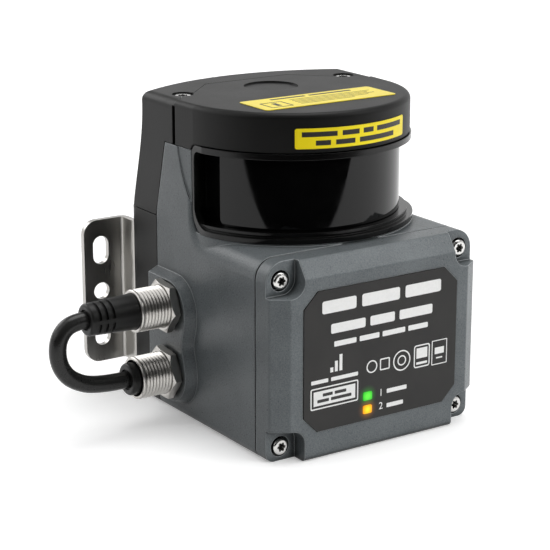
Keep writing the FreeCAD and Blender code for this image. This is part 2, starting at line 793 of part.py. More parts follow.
def window_frame():
    flange_top = seat_level + flange_height
    sweep_top = flange_top + corner_sweep
    lower = rod(flange_radius, V(0, 0, seat_level), z_axis, sweep_top - seat_level)
    upper = rod(rim_radius, V(0, 0, sweep_top), z_axis, rim_top - sweep_top)
    frame = lower.fuse(upper)
    frame = frame.cut(rod(rim_radius - frame_wall, V(0, 0, ring_top), z_axis, reach))
    frame = frame.cut(rod(backing_inner, V(0, 0, seat_level), z_axis, reach))
    opening = [(-reach, flange_top, 0), (-upright_front, flange_top, corner_sweep),
               (-upright_front, rim_low, corner_rim), (-reach, rim_low, 0)]
    frame = frame.cut(prism(opening, in_yz(-reach / 2), V(reach, 0, 0)))
    tall = rim_top - seat_level
    ring = tube(ring_radius, backing_inner, V(0, 0, seat_level), z_axis, ring_height)
    seat = tube(window_inner - window_bond, backing_inner, V(0, 0, seat_level), z_axis, tall)
    light = window_half_angle - math.degrees(backing_band / window_inner)
    seat = seat.cut(sector(reach, light, window_low + backing_band, window_high - backing_band))
    cheek_radius = window_radius - cheek_step
    cheek = tube(cheek_radius, backing_inner, V(0, 0, seat_level), z_axis, tall)
    cheek = cheek.cut(sector(reach, window_half_angle + cheek_gap, 0, reach))
    cheek_side = cheek_radius * math.sin(math.radians(window_half_angle + cheek_gap)) - cheek_relief
    backing = block(-cheek_side, cheek_side, -reach, reach, seat_level, rim_top)
    rim = tube(rim_radius, backing_inner, V(0, 0, rim_low), z_axis, rim_height)
    web = block(-half_width, web_overlap - cheek_side, -web_front, frame_back, seat_level, rim_top)
    for extra in (ring, seat.common(backing), cheek.common(backing), rim, web, mirrored(web)):
        frame = frame.fuse(extra)
    frame = frame.common(flange_block(0, seat_level, rim_top))
    frame = frame.cut(pillar_clearance())
    half_seal = seal_ring_width / 2 + slip
    frame = frame.cut(tube(seal_ring_radius + half_seal, seal_ring_radius - half_seal, V(0, 0, seat_level),
                           z_axis, seal_ring_depth))
    for x, y in on_circle(frame_screw_circle, frame_screw_angles):
        frame = frame.cut(tapped(small_screw, V(x, y, seat_level), z_axis, ring_height - frame_screw_cover))
    return frame.removeSplitter()


def pillar_clearance():
    # Room for the two pillars and the cap's sides; the lips follow the hollow sweep and round off at the top.
    front = -pillar_front - seam_gap / 2
    side = [(front, deck_height, pillar_sweep), (front, rim_top, corner_rim), (-reach, rim_top, 0),
            (-reach, reach, 0), (reach, reach, 0), (reach, 0, 0), (-reach, 0, 0), (-reach, deck_height, 0)]
    inner = half_width - pillar_thickness - seam_gap / 2
    pillar = prism(side, in_yz(-half_width), V(half_width - inner, 0, 0))
    return pillar.fuse(mirrored(pillar))


def window_gasket():
    ring = tube(seal_ring_radius + seal_ring_width / 2, seal_ring_radius - seal_ring_width / 2,
                V(0, 0, seat_level), z_axis, seal_ring_depth)
    return ring.common(block(-reach, reach, -reach, frame_back, seat_level, reach))


def window_frame_screws():
    points = [V(x, y, deck_low) for x, y in on_circle(frame_screw_circle, frame_screw_angles)]
    return screws(small_screw, points, -z_axis)


def scan_window():
    shell = tube(window_radius, window_inner, V(0, 0, window_low), z_axis, window_high - window_low)
    shell = shell.common(sector(reach, window_half_angle, window_low, window_high))
    return round_corners(shell, window_radius, window_half_angle, ((window_low, 1),), window_corner)


def round_corners(shell, radius, half_angle, ends, rounding):
    # Each corner is rounded by a drum whose axis points out from the scan axis.
    turn = half_angle - math.degrees(rounding / radius)
    for s in (-1, 1):
        for z, up in ends:
            corner = block(0, rounding + over, -reach, 0, -over, rounding)
            corner = corner.cut(rod(rounding, V(0, -reach, rounding), y_axis, reach))
            if up < 0:
                corner = corner.mirror(V(0, 0, 0), z_axis)
            if s < 0:
                corner = mirrored(corner)
            corner.rotate(V(0, 0, 0), z_axis, s * turn)
            corner.translate(V(0, 0, z))
            shell = shell.cut(corner)
    return shell


def head_plan(margin, rear):
    # Plan of the head: flat sides that lean in slightly, then one arc across the front.
    radius = head_radius - margin
    start_x = math.sqrt(head_radius ** 2 - head_side_start ** 2) - margin
    side_x = half_width - margin
    side_y = -math.sqrt(radius ** 2 - start_x ** 2)
    left = V(-start_x, side_y, 0)
    right = V(start_x, side_y, 0)
    points = [right, V(side_x, cap_seam, 0), V(side_x, rear, 0), V(-side_x, rear, 0), V(-side_x, cap_seam, 0),
              left]
    edges = [Part.LineSegment(a, b).toShape() for a, b in zip(points, points[1:])]
    edges.append(Part.Arc(left, V(0, -radius, 0), right).toShape())
    return Part.Face(Part.Wire(edges))


def cap_region(shift):
    # Everything in front of the seam between cap and shroud, seen from above.
    line = [(-half_width - over, cap_seam), (-half_width + seam_jog, cap_seam), (-head_screw_x, head_screw_y),
            (-tongue_shoulder, head_screw_y), (-tongue_half, tongue_end)]
    line = [(x, y + shift, 0) for x, y in line]
    line = line + [(-x, y, 0) for x, y, r in reversed(line)]
    line = line + [(half_width + over, -reach, 0), (-half_width - over, -reach, 0)]
    return prism(line, in_xy(0), V(0, 0, reach))


def side_grooves():
    middle = cap_seam + seam_gap / 2
    groove = block(-half_width - over, -half_width + side_groove_depth, middle - side_groove_width / 2,
                   middle + side_groove_width / 2, pillar_top, head_height - cap_rounding)
    return groove.fuse(mirrored(groove))


def head_cap():
    low = pillar_top + seam_gap
    cap = head_plan(0, tongue_end + over)
    cap.translate(V(0, 0, low))
    cap = cap.extrude(V(0, 0, head_height - low))
    crown = [e for e in cap.Edges if e.BoundBox.ZMin > head_height - 1e-6 and e.BoundBox.YMin < tongue_end]
    cap = cap.makeFillet(cap_rounding, crown)
    hollow = head_plan(shell_wall, tongue_end + 2 * over)
    hollow = hollow.extrude(V(0, 0, roof))
    cap = cap.cut(hollow)
    below = rim_top + seam_gap
    brow = [(-reach, 0, 0), (-pillar_front, 0, 0), (-pillar_front, below, corner_rim), (-reach, below, 0)]
    cap = cap.cut(prism(brow, in_yz(-reach / 2), V(reach, 0, 0)))
    inner = half_width - shell_wall
    cap = cap.cut(block(-inner, inner, -reach, frame_back + seam_gap, 0, below))
    cap = cap.common(cap_region(0))
    for s in (-1, 1):
        lug = rod(lug_radius, V(s * head_screw_x, head_screw_y, lug_base), z_axis, lug_height)
        left = head_screw_x - rib_width / 2
        right = head_screw_x + rib_width / 2
        rib = block(left, right, cap_seam - rib_front, cap_seam + rib_rear, lug_base, roof)
        rib = rib.fuse(block(left, right, cap_seam, head_screw_y, lug_base, lug_base + lug_height))
        cap = cap.fuse(lug.fuse(rib if s > 0 else mirrored(rib)))
        cap = cap.cut(rod(head_screw_hole, V(s * head_screw_x, head_screw_y, roof - hole_end), z_axis, reach))
        cap = cap.cut(plain_hole(head_screw, V(s * head_screw_x, head_screw_y, 0), z_axis, reach))
    cap = cap.cut(rod(emblem_radius, V(0, emblem_y, head_height - emblem_depth), z_axis, reach))
    return cap.cut(side_grooves()).removeSplitter()


def shroud_loft(margin, low, high):
    wires = []
    for rise, corner_y in shroud_corners + ((head_height - shroud_base, shroud_top_corner),):
        z = shroud_base + rise
        u = half_width - margin
        left = V(-u, corner_y - margin, z)
        right = V(u, corner_y - margin, z)
        back = V(0, back_reach - margin, z)
        front_left = V(-u, 0, z)
        front_right = V(u, 0, z)
        wires.append(Part.Wire([
            Part.LineSegment(front_left, front_right).toShape(),
            Part.LineSegment(front_right, right).toShape(),
            Part.Arc(right, back, left).toShape(),
            Part.LineSegment(left, front_left).toShape(),
        ]))
    loft = Part.makeLoft(wires, True, False)
    return loft.common(block(-reach, reach, -reach, reach, low, high))


def rear_shroud():
    shroud = shroud_loft(0, shroud_base + seam_gap / 2, head_height)
    crown = [e for e in shroud.Edges if e.BoundBox.ZMin > head_height - 1e-6 and e.BoundBox.YMax > 1.0]
    shroud = shroud.makeFillet(shroud_rounding, crown)
    shroud = shroud.cut(shroud_loft(shell_wall, 0, roof))
    over_pillar = pillar_top + seam_gap
    side = [(rear_joint, 0, 0), (rear_joint, pillar_foot, pillar_lean_radius),
            (pillar_rear + seam_gap, over_pillar, 0), (-reach, over_pillar, 0), (-reach, 0, 0)]
    shroud = shroud.cut(prism(side, in_yz(-reach / 2), V(reach, 0, 0)))
    shroud = shroud.cut(cap_region(seam_gap))
    base = lug_base + lug_height
    for s in (-1, 1):
        lug = rod(lug_radius, V(s * head_screw_x, head_screw_y, base), z_axis, lug_height)
        web = block(head_screw_x, half_width - shell_wall / 2, head_screw_y - lug_web_front,
                    head_screw_y + lug_radius, base, base + lug_height)
        shroud = shroud.fuse(lug.fuse(web if s > 0 else mirrored(web)))
        mouth_low = V(s * head_screw_x, head_screw_y, roof - hole_end)
        shroud = shroud.cut(rod(head_screw_hole, mouth_low, z_axis, reach))
        shroud = shroud.cut(plain_hole(head_screw, V(s * head_screw_x, head_screw_y, 0), z_axis, reach))
    return shroud.cut(side_grooves()).removeSplitter()


def head_screws():
    seat = lug_base + 2 * lug_height
    return screws(head_screw, [V(s * head_screw_x, head_screw_y, seat) for s in (-1, 1)], z_axis)


def back_plan(margin, front):
    u = half_width - margin
    back = back_reach - (cover_back_wall if margin else 0)
    corner = back_corner - margin
    return [(-u, front, 0), (u, front, 0), (u, back, corner), (-u, back, corner)]


def rear_cover():
    high = shroud_base - seam_gap / 2
    cover = prism(back_plan(0, rear_joint), in_xy(0), V(0, 0, high))
    ends = [(-half_width, 0, base_radius), (half_width, 0, base_radius), (half_width, high, 0),
            (-half_width, high, 0)]
    cover = cover.common(prism(ends, in_xz(0), V(0, reach, 0)))
    cover = cover.cut(prism(back_plan(cover_back_wall, 0), in_xy(cover_back_wall), V(0, 0, reach)))
    shell = prism(back_plan(0, rear_joint), in_xy(0), V(0, 0, high))
    for x, z in rear_screw_places:
        boss = rod(boss_radius, V(x, rear_joint, z), y_axis, back_reach - rear_joint)
        cover = cover.fuse(boss.common(shell))
    for x, z in bracket_screw_places:
        cover = cover.fuse(rod(bracket_boss, V(x, back_inner, z), -y_axis, bracket_boss_depth))
    for x, z in main_board_places:
        top = main_board_y + board_thickness
        cover = cover.fuse(rod(board_boss, V(x, top, z), y_axis, back_inner - top))
    for x, z in rear_screw_places:
        cover = cover.cut(plain_hole(rear_screw, V(x, 0, z), y_axis, reach))
        cover = cover.cut(rod(rear_counterbore, V(x, back_reach - rear_counterbore_depth, z), y_axis, reach))
    depth = bracket_screw.length - sheet + hole_end
    for x, z in bracket_screw_places:
        cover = cover.cut(tapped(bracket_screw, V(x, back_reach, z), -y_axis, depth))
    for x, z in main_board_places:
        cover = cover.cut(tapped(small_screw, V(x, main_board_y, z), y_axis, small_screw.length + hole_end))
    return cover.removeSplitter()


def rear_cover_screws():
    seat = back_reach - rear_counterbore_depth
    return screws(rear_screw, [V(x, seat, z) for x, z in rear_screw_places], y_axis)


def main_board():
    u = main_board_width / 2
    board = prism(rectangle(-u, u, main_board_low, main_board_high, board_corner), in_xz(main_board_y),
                  V(0, board_thickness, 0))
    for x, z in main_board_places:
        board = board.cut(plain_hole(small_screw, V(x, main_board_y, z), y_axis, board_thickness))
    front = main_board_y
    for x, z, wide, tall, high in board_chips:
        board = board.fuse(block(x - wide / 2, x + wide / 2, front - high, front, z - tall / 2, z + tall / 2))
    return board


def main_board_screws():
    return screws(small_screw, [V(x, main_board_y, z) for x, z in main_board_places], -y_axis)


def mounting_bracket():
    # Hat section: plate on the scanner's back, two legs, two ears on the wall plane.
    front = back_reach
    inner = leg_half_width - sheet
    tight = bend_inner
    wide = bend_inner + sheet
    section = [
        (-leg_half_width, front, wide), (leg_half_width, front, wide),
        (leg_half_width, wall_plane - sheet, tight), (ear_half_width, wall_plane - sheet, 0),
        (ear_half_width, wall_plane, 0), (inner, wall_plane, wide), (inner, front + sheet, tight),
        (-inner, front + sheet, tight), (-inner, wall_plane, wide), (-ear_half_width, wall_plane, 0),
        (-ear_half_width, wall_plane - sheet, 0), (-leg_half_width, wall_plane - sheet, tight),
    ]
    bracket = prism(section, in_xy(bracket_low), V(0, 0, bracket_high - bracket_low))
    corners = rectangle(-ear_half_width, ear_half_width, bracket_low, bracket_high, ear_corner)
    bracket = bracket.common(prism(corners, in_xz(0), V(0, reach, 0)))
    for s in (-1, 1):
        hole = V(s * ear_hole_x, 0, bracket_middle)
        bracket = bracket.cut(rod(ear_hole_radius, hole, y_axis, reach))
        for sz in (-1, 1):
            middle = bracket_middle + sz * ear_slot_spacing / 2
            half = ear_slot_length / 2
            left = s * ear_hole_x - ear_hole_radius
            right = s * ear_hole_x + ear_hole_radius
            slot = rectangle(left, right, middle - half, middle + half, ear_hole_radius - 1e-4)
            bracket = bracket.cut(prism(slot, in_xz(0), V(0, reach, 0)))
    for x, z in bracket_screw_places:
        bracket = bracket.cut(plain_hole(bracket_screw, V(x, 0, z), y_axis, reach))
    return bracket


def bracket_screws():
    return screws(bracket_screw, [V(x, back_reach + sheet, z) for x, z in bracket_screw_places], y_axis)


def top_label():
    corners = rectangle(-top_label_half, top_label_half, -top_label_front, -top_label_rear, top_label_corner)
    return prism(corners, in_xy(head_height), V(0, 0, label_thickness))


def brow_label():
    shell = tube(head_radius + label_thickness, head_radius, V(0, 0, brow_low), z_axis, brow_high - brow_low)
    shell = shell.common(sector(reach, brow_half_angle, brow_low, brow_high))
    return round_corners(shell, head_radius, brow_half_angle, ((brow_low, 1), (brow_high, -1)), brow_corner)


def socket(name):
    # Barrel along -X: thread outside, plug bore at the mouth, flange behind the wall.
    z = socket_heights[name]
    flange_face = inner_wall + seal_height
    tail = flange_face + socket_flange_height + barrel_tail
    length = tail - mouth
    crest = socket_radius
    root = socket_radius - thread_depth
    flange = crest + socket_flange
    flange_end = barrel_tail + socket_flange_height
    profile = [(insert_seat, 0), (root, 0), (root, barrel_tail), (flange, barrel_tail), (flange, flange_end),
               (crest, flange_end)]
    along = tail - pad_face + nut_collar + nut_height
    profile.append((crest, along))
    turns = int((length - along - mouth_edge) / thread_pitch)
    for i in range(turns):
        start = along + i * thread_pitch
        profile.append((root, start + thread_pitch / 2))
        profile.append((crest, start + thread_pitch))
    profile.append((crest, length - mouth_edge))
    profile.append((crest - mouth_edge, length))
    bore = socket_radius - socket_wall
    shoulder = tail - carrier_face - carrier_collar
    profile = profile + [(bore, length), (bore, shoulder), (insert_seat, shoulder)]
    return turned(profile, V(tail, socket_y, z), -x_axis)


def socket_nut(name):
    # Hexagon on a round foot.
    z = socket_heights[name]
    foot = V(pad_face, socket_y, z)
    seat = pad_face - nut_collar
    corner = nut_flats / math.sqrt(3)
    points = []
    for i in range(7):
        turn = math.radians(nut_turn + 60 * i)
        points.append(V(seat, socket_y + corner * math.sin(turn), z + corner * math.cos(turn)))
    nut = Part.Face(Part.makePolygon(points)).extrude(V(-nut_height, 0, 0))
    bevel = (corner - nut_flats / 2) / math.sqrt(3)
    profile = [(0, 0), (corner, 0), (corner, nut_height - bevel), (nut_flats / 2, nut_height),
               (0, nut_height)]
    nut = nut.common(turned(profile, V(seat, socket_y, z), -x_axis))
    nut = nut.fuse(rod(nut_collar_radius, foot, -x_axis, nut_collar))
    return nut.cut(rod(socket_radius + slip, foot, -x_axis, nut_collar + nut_height))


def socket_seals():
    seals = []
    for z in socket_heights.values():
        seals.append(tube(socket_radius + socket_flange - seal_margin, socket_radius + slip,
                          V(inner_wall, socket_y, z), x_axis, seal_height))
    return Part.makeCompound(seals)


def pin_places(z):
    turns = [math.radians(45 + 360 * i / pin_count) for i in range(pin_count)]
    return [V(0, socket_y + pin_circle * math.cos(t), z + pin_circle * math.sin(t)) for t in turns]


def carrier_end():
    return inner_wall + seal_height + socket_flange_height + barrel_tail + carrier_tail


def contact_insert(name):
    z = socket_heights[name]
    bore = socket_radius - socket_wall - slip
    tail = carrier_end()
    length = tail - carrier_face
    step = length - carrier_collar
    seat = insert_seat - slip
    profile = [(0, 0), (seat, 0), (seat, step), (bore, step), (bore, length), (0, length)]
    body = turned(profile, V(tail, socket_y, z), -x_axis)
    for place in pin_places(z):
        body = body.cut(rod(pin_radius + slip / 2, place + x_axis * tail, -x_axis, length))
    return body


def socket_pins():
    pins = []
    end = carrier_face - pin_length
    for z in socket_heights.values():
        for place in pin_places(z):
            length = carrier_end() + board_thickness - end
            pins.append(rod(pin_radius, place + x_axis * end, x_axis, length))
    return Part.makeCompound(pins)


def plug(name, radius, out, grooves):
    # Overmoulded plug: straight in the socket, tapered outside, round at the end, grooved for grip.
    z = socket_heights[name]
    end = mouth - out
    end_radius = radius - plug_taper * out
    body = turned([(0, 0), (radius, 0), (radius, plug_depth), (end_radius, plug_depth + out),
                   (0, plug_depth + out)], V(carrier_face, socket_y, z), -x_axis)
    body = body.makeFillet(plug_edge, [e for e in body.Edges if e.BoundBox.XMax < end + 1e-6])
    for i in range(groove_count if grooves else 0):
        along = groove_start + i * groove_pitch
        root = end_radius + plug_taper * along - groove_depth
        ring = tube(radius + over, root, V(end + along, socket_y, z), x_axis, groove_width)
        rib = block(end, mouth, -reach, reach, z - groove_rib / 2, z + groove_rib / 2)
        body = body.cut(ring.cut(rib))
    body = body.cut(tube(cable_radius + entry_play, cable_radius, V(end, socket_y, z), x_axis, entry_depth))
    for place in pin_places(z):
        body = body.cut(rod(pin_radius + slip, place + x_axis * carrier_face, -x_axis, pin_length + pin_play))
    return body


def cable_route():
    # Short loop between the two plugs.
    start = V(mouth - upper_plug_out, socket_y, socket_heights["upper"])
    end = V(mouth - lower_plug_out, socket_y, socket_heights["lower"])
    bends = [V(x, socket_y, z) for x, z in cable_bends]
    return [start, start - x_axis * upper_lead] + bends + [end - x_axis * lower_lead, end]


def jumper_cable():
    route = cable_route()
    edges = []
    last = route[0]
    for before, point, after in zip(route, route[1:], route[2:]):
        back = (before - point).normalize()
        ahead = (after - point).normalize()
        half = back.getAngle(ahead) / 2
        turn = math.pi / 2 - half
        trim = bend_share * min(before.distanceToPoint(point), point.distanceToPoint(after))
        radius = trim / math.tan(turn)
        first = point + back * trim
        final = point + ahead * trim
        bisector = (back + ahead).normalize()
        middle = point + bisector * (radius / math.sin(half) - radius)
        edges.append(Part.LineSegment(last, first).toShape())
        edges.append(Part.Arc(first, middle, final).toShape())
        last = final
        print("cable bend radius", round(radius, 1))
    edges.append(Part.LineSegment(last, route[-1]).toShape())
    path = Part.Wire(edges)
    section = Part.Wire(Part.makeCircle(cable_radius, route[0], (route[1] - route[0]).normalize()))
    cable = path.makePipeShell([section], True, True)
    length = path.Length
    print("cable length", round(length, 1), "volume ratio",
          round(cable.Volume / (math.pi * cable_radius ** 2 * length), 4))
    return cable


def io_board():
    face = carrier_end()
    corners = rectangle(socket_y - io_board_front, socket_y + io_board_rear, io_board_low, io_board_high,
                        board_corner)
    board = prism(corners, in_yz(face), V(board_thickness, 0, 0))
    for z in socket_heights.values():
        for place in pin_places(z):
            board = board.cut(rod(pin_radius + slip, place + x_axis * face, x_axis, board_thickness))
    return board


def motor_frame():
    top = frame_plate_low + frame_plate_thickness
    leg_out = frame_leg_x + frame_leg_thickness
    rear = frame_leg_front + frame_leg_depth
    frame = block(-leg_out, leg_out, frame_leg_front, rear, frame_plate_low, top)
    frame = frame.fuse(rod(frame_disc, V(0, 0, frame_plate_low), z_axis, frame_plate_thickness))
    frame = frame.fuse(rod(hub_shoulder, V(0, 0, hub_low), z_axis, stator_low - hub_low))
    frame = frame.fuse(rod(hub_radius, V(0, 0, hub_low), z_axis, hub_high - hub_low))
    leg = block(frame_leg_x, leg_out, frame_leg_front, rear, deck_height, top)
    foot = block(frame_leg_x, leg_out + frame_foot, frame_leg_front, rear, deck_height,
                 deck_height + frame_foot_height)
    foot = foot.cut(plain_hole(small_screw, V(foot_middle_x, foot_middle_y, 0), z_axis, reach))
    leg = leg.fuse(foot)
    frame = frame.fuse(leg).fuse(mirrored(leg))
    frame = frame.cut(rod(hub_throat, V(0, 0, 0), z_axis, reach))
    for low in (hub_low, hub_high - bearing_width):
        frame = frame.cut(rod(bearing_radius, V(0, 0, low), z_axis, bearing_width))
    return frame.removeSplitter()


def motor_frame_screws():
    seat = deck_height + frame_foot_height
    return screws(small_screw, [V(s * foot_middle_x, foot_middle_y, seat) for s in (-1, 1)], z_axis)


def bearing(low):
    return tube(bearing_radius, spindle_radius + running, V(0, 0, low), z_axis, bearing_width)


def stator_core():
    # Lamination stack: yoke on the hub, teeth with wide tips.
    yoke = rod(hub_radius + stator_yoke, V(0, 0, stator_low), z_axis, stator_thickness)
    tips = tube(stator_radius, stator_radius - tooth_tip, V(0, 0, stator_low), z_axis, stator_thickness)
    core = yoke
    for i in range(tooth_count):
        tooth = block(0, stator_radius - tooth_tip / 2, -tooth_width / 2, tooth_width / 2, stator_low,
                      stator_low + stator_thickness)
        tooth.rotate(V(0, 0, 0), z_axis, 360 * i / tooth_count)
        core = core.fuse(tooth)
    gap = tooth_width / 2
    for i in range(tooth_count):
        slot = block(0, stator_radius + over, -gap / 2, gap / 2, stator_low, stator_low + stator_thickness)
        slot.rotate(V(0, 0, 0), z_axis, 360 * (i + 0.5) / tooth_count)
        tips = tips.cut(slot)
    core = core.fuse(tips)
    return core.cut(rod(hub_radius, V(0, 0, stator_low), z_axis, stator_thickness)).removeSplitter()


def stator_coils():
    coils = []
    start = hub_radius + stator_yoke + coil_end_gap
    end = stator_radius - tooth_tip - coil_end_gap
    half = tooth_width / 2
    for i in range(tooth_count):
        coil = block(start, end, -half - coil_thickness, half + coil_thickness, stator_low - coil_thickness,
                     stator_low + stator_thickness + coil_thickness)
        coil = coil.cut(block(0, reach, -half, half, stator_low, stator_low + stator_thickness))
        coil.rotate(V(0, 0, 0), z_axis, 360 * i / tooth_count)
        coils.append(coil)
    return Part.makeCompound(coils)


def spindle():
    return rod(spindle_radius, V(0, 0, spindle_low), z_axis, cup_high - spindle_low)


def rotor_cup():
    inner = stator_radius + air_gap + magnet_thickness
    cup = rod(inner + cup_wall, V(0, 0, cup_low), z_axis, cup_high - cup_low)
    cup = cup.cut(rod(inner, V(0, 0, cup_low), z_axis, cup_high - cup_low - cup_wall))
    boss_low = hub_high + cup_gap
    cup = cup.fuse(rod(cup_boss, V(0, 0, boss_low), z_axis, cup_high - boss_low))
    return cup.cut(rod(spindle_radius, V(0, 0, 0), z_axis, reach))


def ring_magnet():
    inner = stator_radius + air_gap
    low = cup_low + cup_gap
    return tube(inner + magnet_thickness, inner, V(0, 0, low), z_axis, cup_high - cup_wall - low)


def behind_mirror(offset):
    # Half space above and behind the mirror, offset square to its face.
    space = block(-reach / 2, reach / 2, -reach / 2, reach / 2, 0, reach / 2)
    space.rotate(V(0, 0, 0), x_axis, -45)
    push = offset * math.sqrt(0.5)
    space.translate(V(0, push, mirror_height + push))
    return space


def scan_mirror():
    disc = rod(mirror_radius, V(0, 0, 0), z_axis, reach)
    return disc.common(behind_mirror(0)).cut(behind_mirror(mirror_thickness))


def mirror_carrier():
    body = rod(carrier_radius, V(0, 0, 0), z_axis, carrier_high)
    body = body.fuse(rod(carrier_hub, V(0, 0, 0), z_axis, encoder_low))
    body = body.common(behind_mirror(mirror_thickness))
    return body.cut(rod(spindle_radius, V(0, 0, spindle_low), z_axis, reach)).removeSplitter()


def encoder_disc():
    disc = tube(encoder_radius, spindle_radius, V(0, 0, encoder_low), z_axis, encoder_thickness)
    outer = encoder_radius - slit_margin
    for i in range(slit_count):
        slit = block(outer - slit_length, outer, -slit_width / 2, slit_width / 2, encoder_low,
                     encoder_low + encoder_thickness)
        slit.rotate(V(0, 0, 0), z_axis, 360 * i / slit_count)
        disc = disc.cut(slit)
    return disc


def encoder_board():
    half = encoder_board_width / 2
    front = encoder_radius - encoder_board_length
    board = block(-half, half, front, encoder_radius, frame_plate_low - board_thickness, frame_plate_low)
    rear = encoder_radius - sensor_margin
    sensor = block(-half / 2, half / 2, rear - sensor_length, rear,
                   frame_plate_low - board_thickness - encoder_sensor, frame_plate_low - board_thickness)
    return board.fuse(sensor)


def lens_barrel():
    barrel = rod(barrel_outer, V(0, 0, lens_barrel_low), z_axis, lens_barrel_high - lens_barrel_low)
    flange = V(0, 0, deck_low - barrel_flange_height)
    barrel = barrel.fuse(rod(barrel_outer + barrel_flange, flange, z_axis, barrel_flange_height))
    barrel = barrel.cut(rod(lens_radius + slip, V(0, 0, lens_low), z_axis, reach))
    barrel = barrel.cut(rod(lens_radius - lens_step, V(0, 0, lens_barrel_low + barrel_floor), z_axis, reach))
    barrel = barrel.cut(rod(receiver_hole, V(0, 0, 0), z_axis, reach))
    for x, y in on_circle(barrel_screw_circle, barrel_screw_angles):
        barrel = barrel.cut(plain_hole(short_screw, V(x, y, 0), z_axis, reach))
    return barrel


def lens_barrel_screws():
    seat = deck_low - barrel_flange_height
    points = [V(x, y, seat) for x, y in on_circle(barrel_screw_circle, barrel_screw_angles)]
    return screws(short_screw, points, -z_axis)


def receiver_lens():
    sphere_radius = (lens_radius ** 2 + lens_crown ** 2) / (2 * lens_crown)
    top = lens_low + lens_edge + lens_crown
    ball = Part.makeSphere(sphere_radius, V(0, 0, top - sphere_radius))
    lens = rod(lens_radius, V(0, 0, lens_low), z_axis, reach).common(ball)
    return lens.cut(rod(laser_radius + slip / 2, V(0, 0, 0), z_axis, reach))


def laser_tube():
    inner = laser_radius - laser_step
    floor = laser_length - laser_recess
    profile = [(0, -laser_tail), (inner, -laser_tail), (inner, 0), (laser_radius, 0),
               (laser_radius, laser_length), (inner, laser_length), (inner, floor), (0, floor)]
    return turned(profile, V(0, 0, laser_low), z_axis)


def receiver_board():
    half = receiver_board_size / 2
    corners = rectangle(-half, half, -half, half, board_corner)
    board = prism(corners, in_xy(lens_barrel_low), V(0, 0, -board_thickness))
    return board.fuse(rod(receiver_hole - slip, V(0, 0, lens_barrel_low), z_axis, receiver_chip))


pieces = {
    "lower_housing": lower_housing(),
    "front_cover": front_cover(),
    "front_cover_gasket": front_cover_gasket(),
    "front_cover_screws": front_cover_screws(),
    "front_label_plate": front_label_plate(),
    "power_indicator": indicator("power_indicator"),
    "status_indicator": indicator("status_indicator"),
    "indicator_board": indicator_board(),
    "indicator_board_screws": indicator_board_screws(),
    "window_frame": window_frame(),
    "window_gasket": window_gasket(),
    "window_frame_screws": window_frame_screws(),
    "scan_window": scan_window(),
    "head_cap": head_cap(),
    "rear_shroud": rear_shroud(),
    "head_screws": head_screws(),
    "rear_cover": rear_cover(),
    "rear_cover_screws": rear_cover_screws(),
    "main_board": main_board(),
    "main_board_screws": main_board_screws(),
    "mounting_bracket": mounting_bracket(),
    "bracket_screws": bracket_screws(),
    "top_label": top_label(),
    "brow_label": brow_label(),
    "upper_socket": socket("upper"),
    "lower_socket": socket("lower"),
    "upper_socket_nut": socket_nut("upper"),
    "lower_socket_nut": socket_nut("lower"),
    "socket_seals": socket_seals(),
    "upper_insert": contact_insert("upper"),
    "lower_insert": contact_insert("lower"),
    "socket_pins": socket_pins(),
    "upper_plug": plug("upper", upper_plug_radius, upper_plug_out, True),
    "lower_plug": plug("lower", lower_plug_radius, lower_plug_out, False),
    "jumper_cable": jumper_cable(),
    "io_board": io_board(),
    "motor_frame": motor_frame(),
    "motor_frame_screws": motor_frame_screws(),
    "lower_bearing": bearing(hub_low),
    "upper_bearing": bearing(hub_high - bearing_width),
    "stator_core": stator_core(),
    "stator_coils": stator_coils(),
    "spindle": spindle(),
    "rotor_cup": rotor_cup(),
    "ring_magnet": ring_magnet(),
    "scan_mirror": scan_mirror(),
    "mirror_carrier": mirror_carrier(),
    "encoder_disc": encoder_disc(),
    "encoder_board": encoder_board(),
    "lens_barrel": lens_barrel(),
    "lens_barrel_screws": lens_barrel_screws(),
    "receiver_lens": receiver_lens(),
    "laser_tube": laser_tube(),
    "receiver_board": receiver_board(),
}

os.makedirs("parts", exist_ok=True)
for name, shape in pieces.items():
    shape.exportStep("parts/" + name + ".step")
    print(name, "solids", len(shape.Solids), "valid", shape.isValid(), "volume", round(shape.Volume, 1))
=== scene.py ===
import json
import math

import bmesh
import bpy
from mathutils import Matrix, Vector


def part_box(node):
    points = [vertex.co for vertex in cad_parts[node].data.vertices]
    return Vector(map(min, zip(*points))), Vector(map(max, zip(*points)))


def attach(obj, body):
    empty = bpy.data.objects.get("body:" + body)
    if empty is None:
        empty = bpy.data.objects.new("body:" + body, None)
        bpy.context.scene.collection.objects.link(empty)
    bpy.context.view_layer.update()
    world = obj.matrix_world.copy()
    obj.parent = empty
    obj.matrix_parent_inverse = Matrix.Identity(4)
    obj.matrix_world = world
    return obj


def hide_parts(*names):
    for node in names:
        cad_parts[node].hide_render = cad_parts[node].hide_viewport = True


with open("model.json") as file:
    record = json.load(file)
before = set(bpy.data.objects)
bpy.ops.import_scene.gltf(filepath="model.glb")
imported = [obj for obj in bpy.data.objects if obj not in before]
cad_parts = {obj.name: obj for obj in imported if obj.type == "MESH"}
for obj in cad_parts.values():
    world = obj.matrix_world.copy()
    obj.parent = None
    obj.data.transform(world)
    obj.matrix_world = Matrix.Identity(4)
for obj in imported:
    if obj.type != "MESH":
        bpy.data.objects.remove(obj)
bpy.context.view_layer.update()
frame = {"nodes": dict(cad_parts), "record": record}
nodes = frame["nodes"]
slotOf = {part["node"]: part["material_slot"] for part in frame["record"]["subparts"]}
mm = 0.001
print("frame loaded,", len(nodes), "solids")

# the photo's own viewpoint, solved from the casting's corners
cameraSetup = {
    "azimuth": -33.72,
    "elevation": 16.14,
    "distance": 784.93 * mm,
    "target": (-6.94 * mm, 0.0, 56.69 * mm),
    "focalPixels": 1838.02,
    "imagePixels": 550,
    "sensor": 36.0,
}


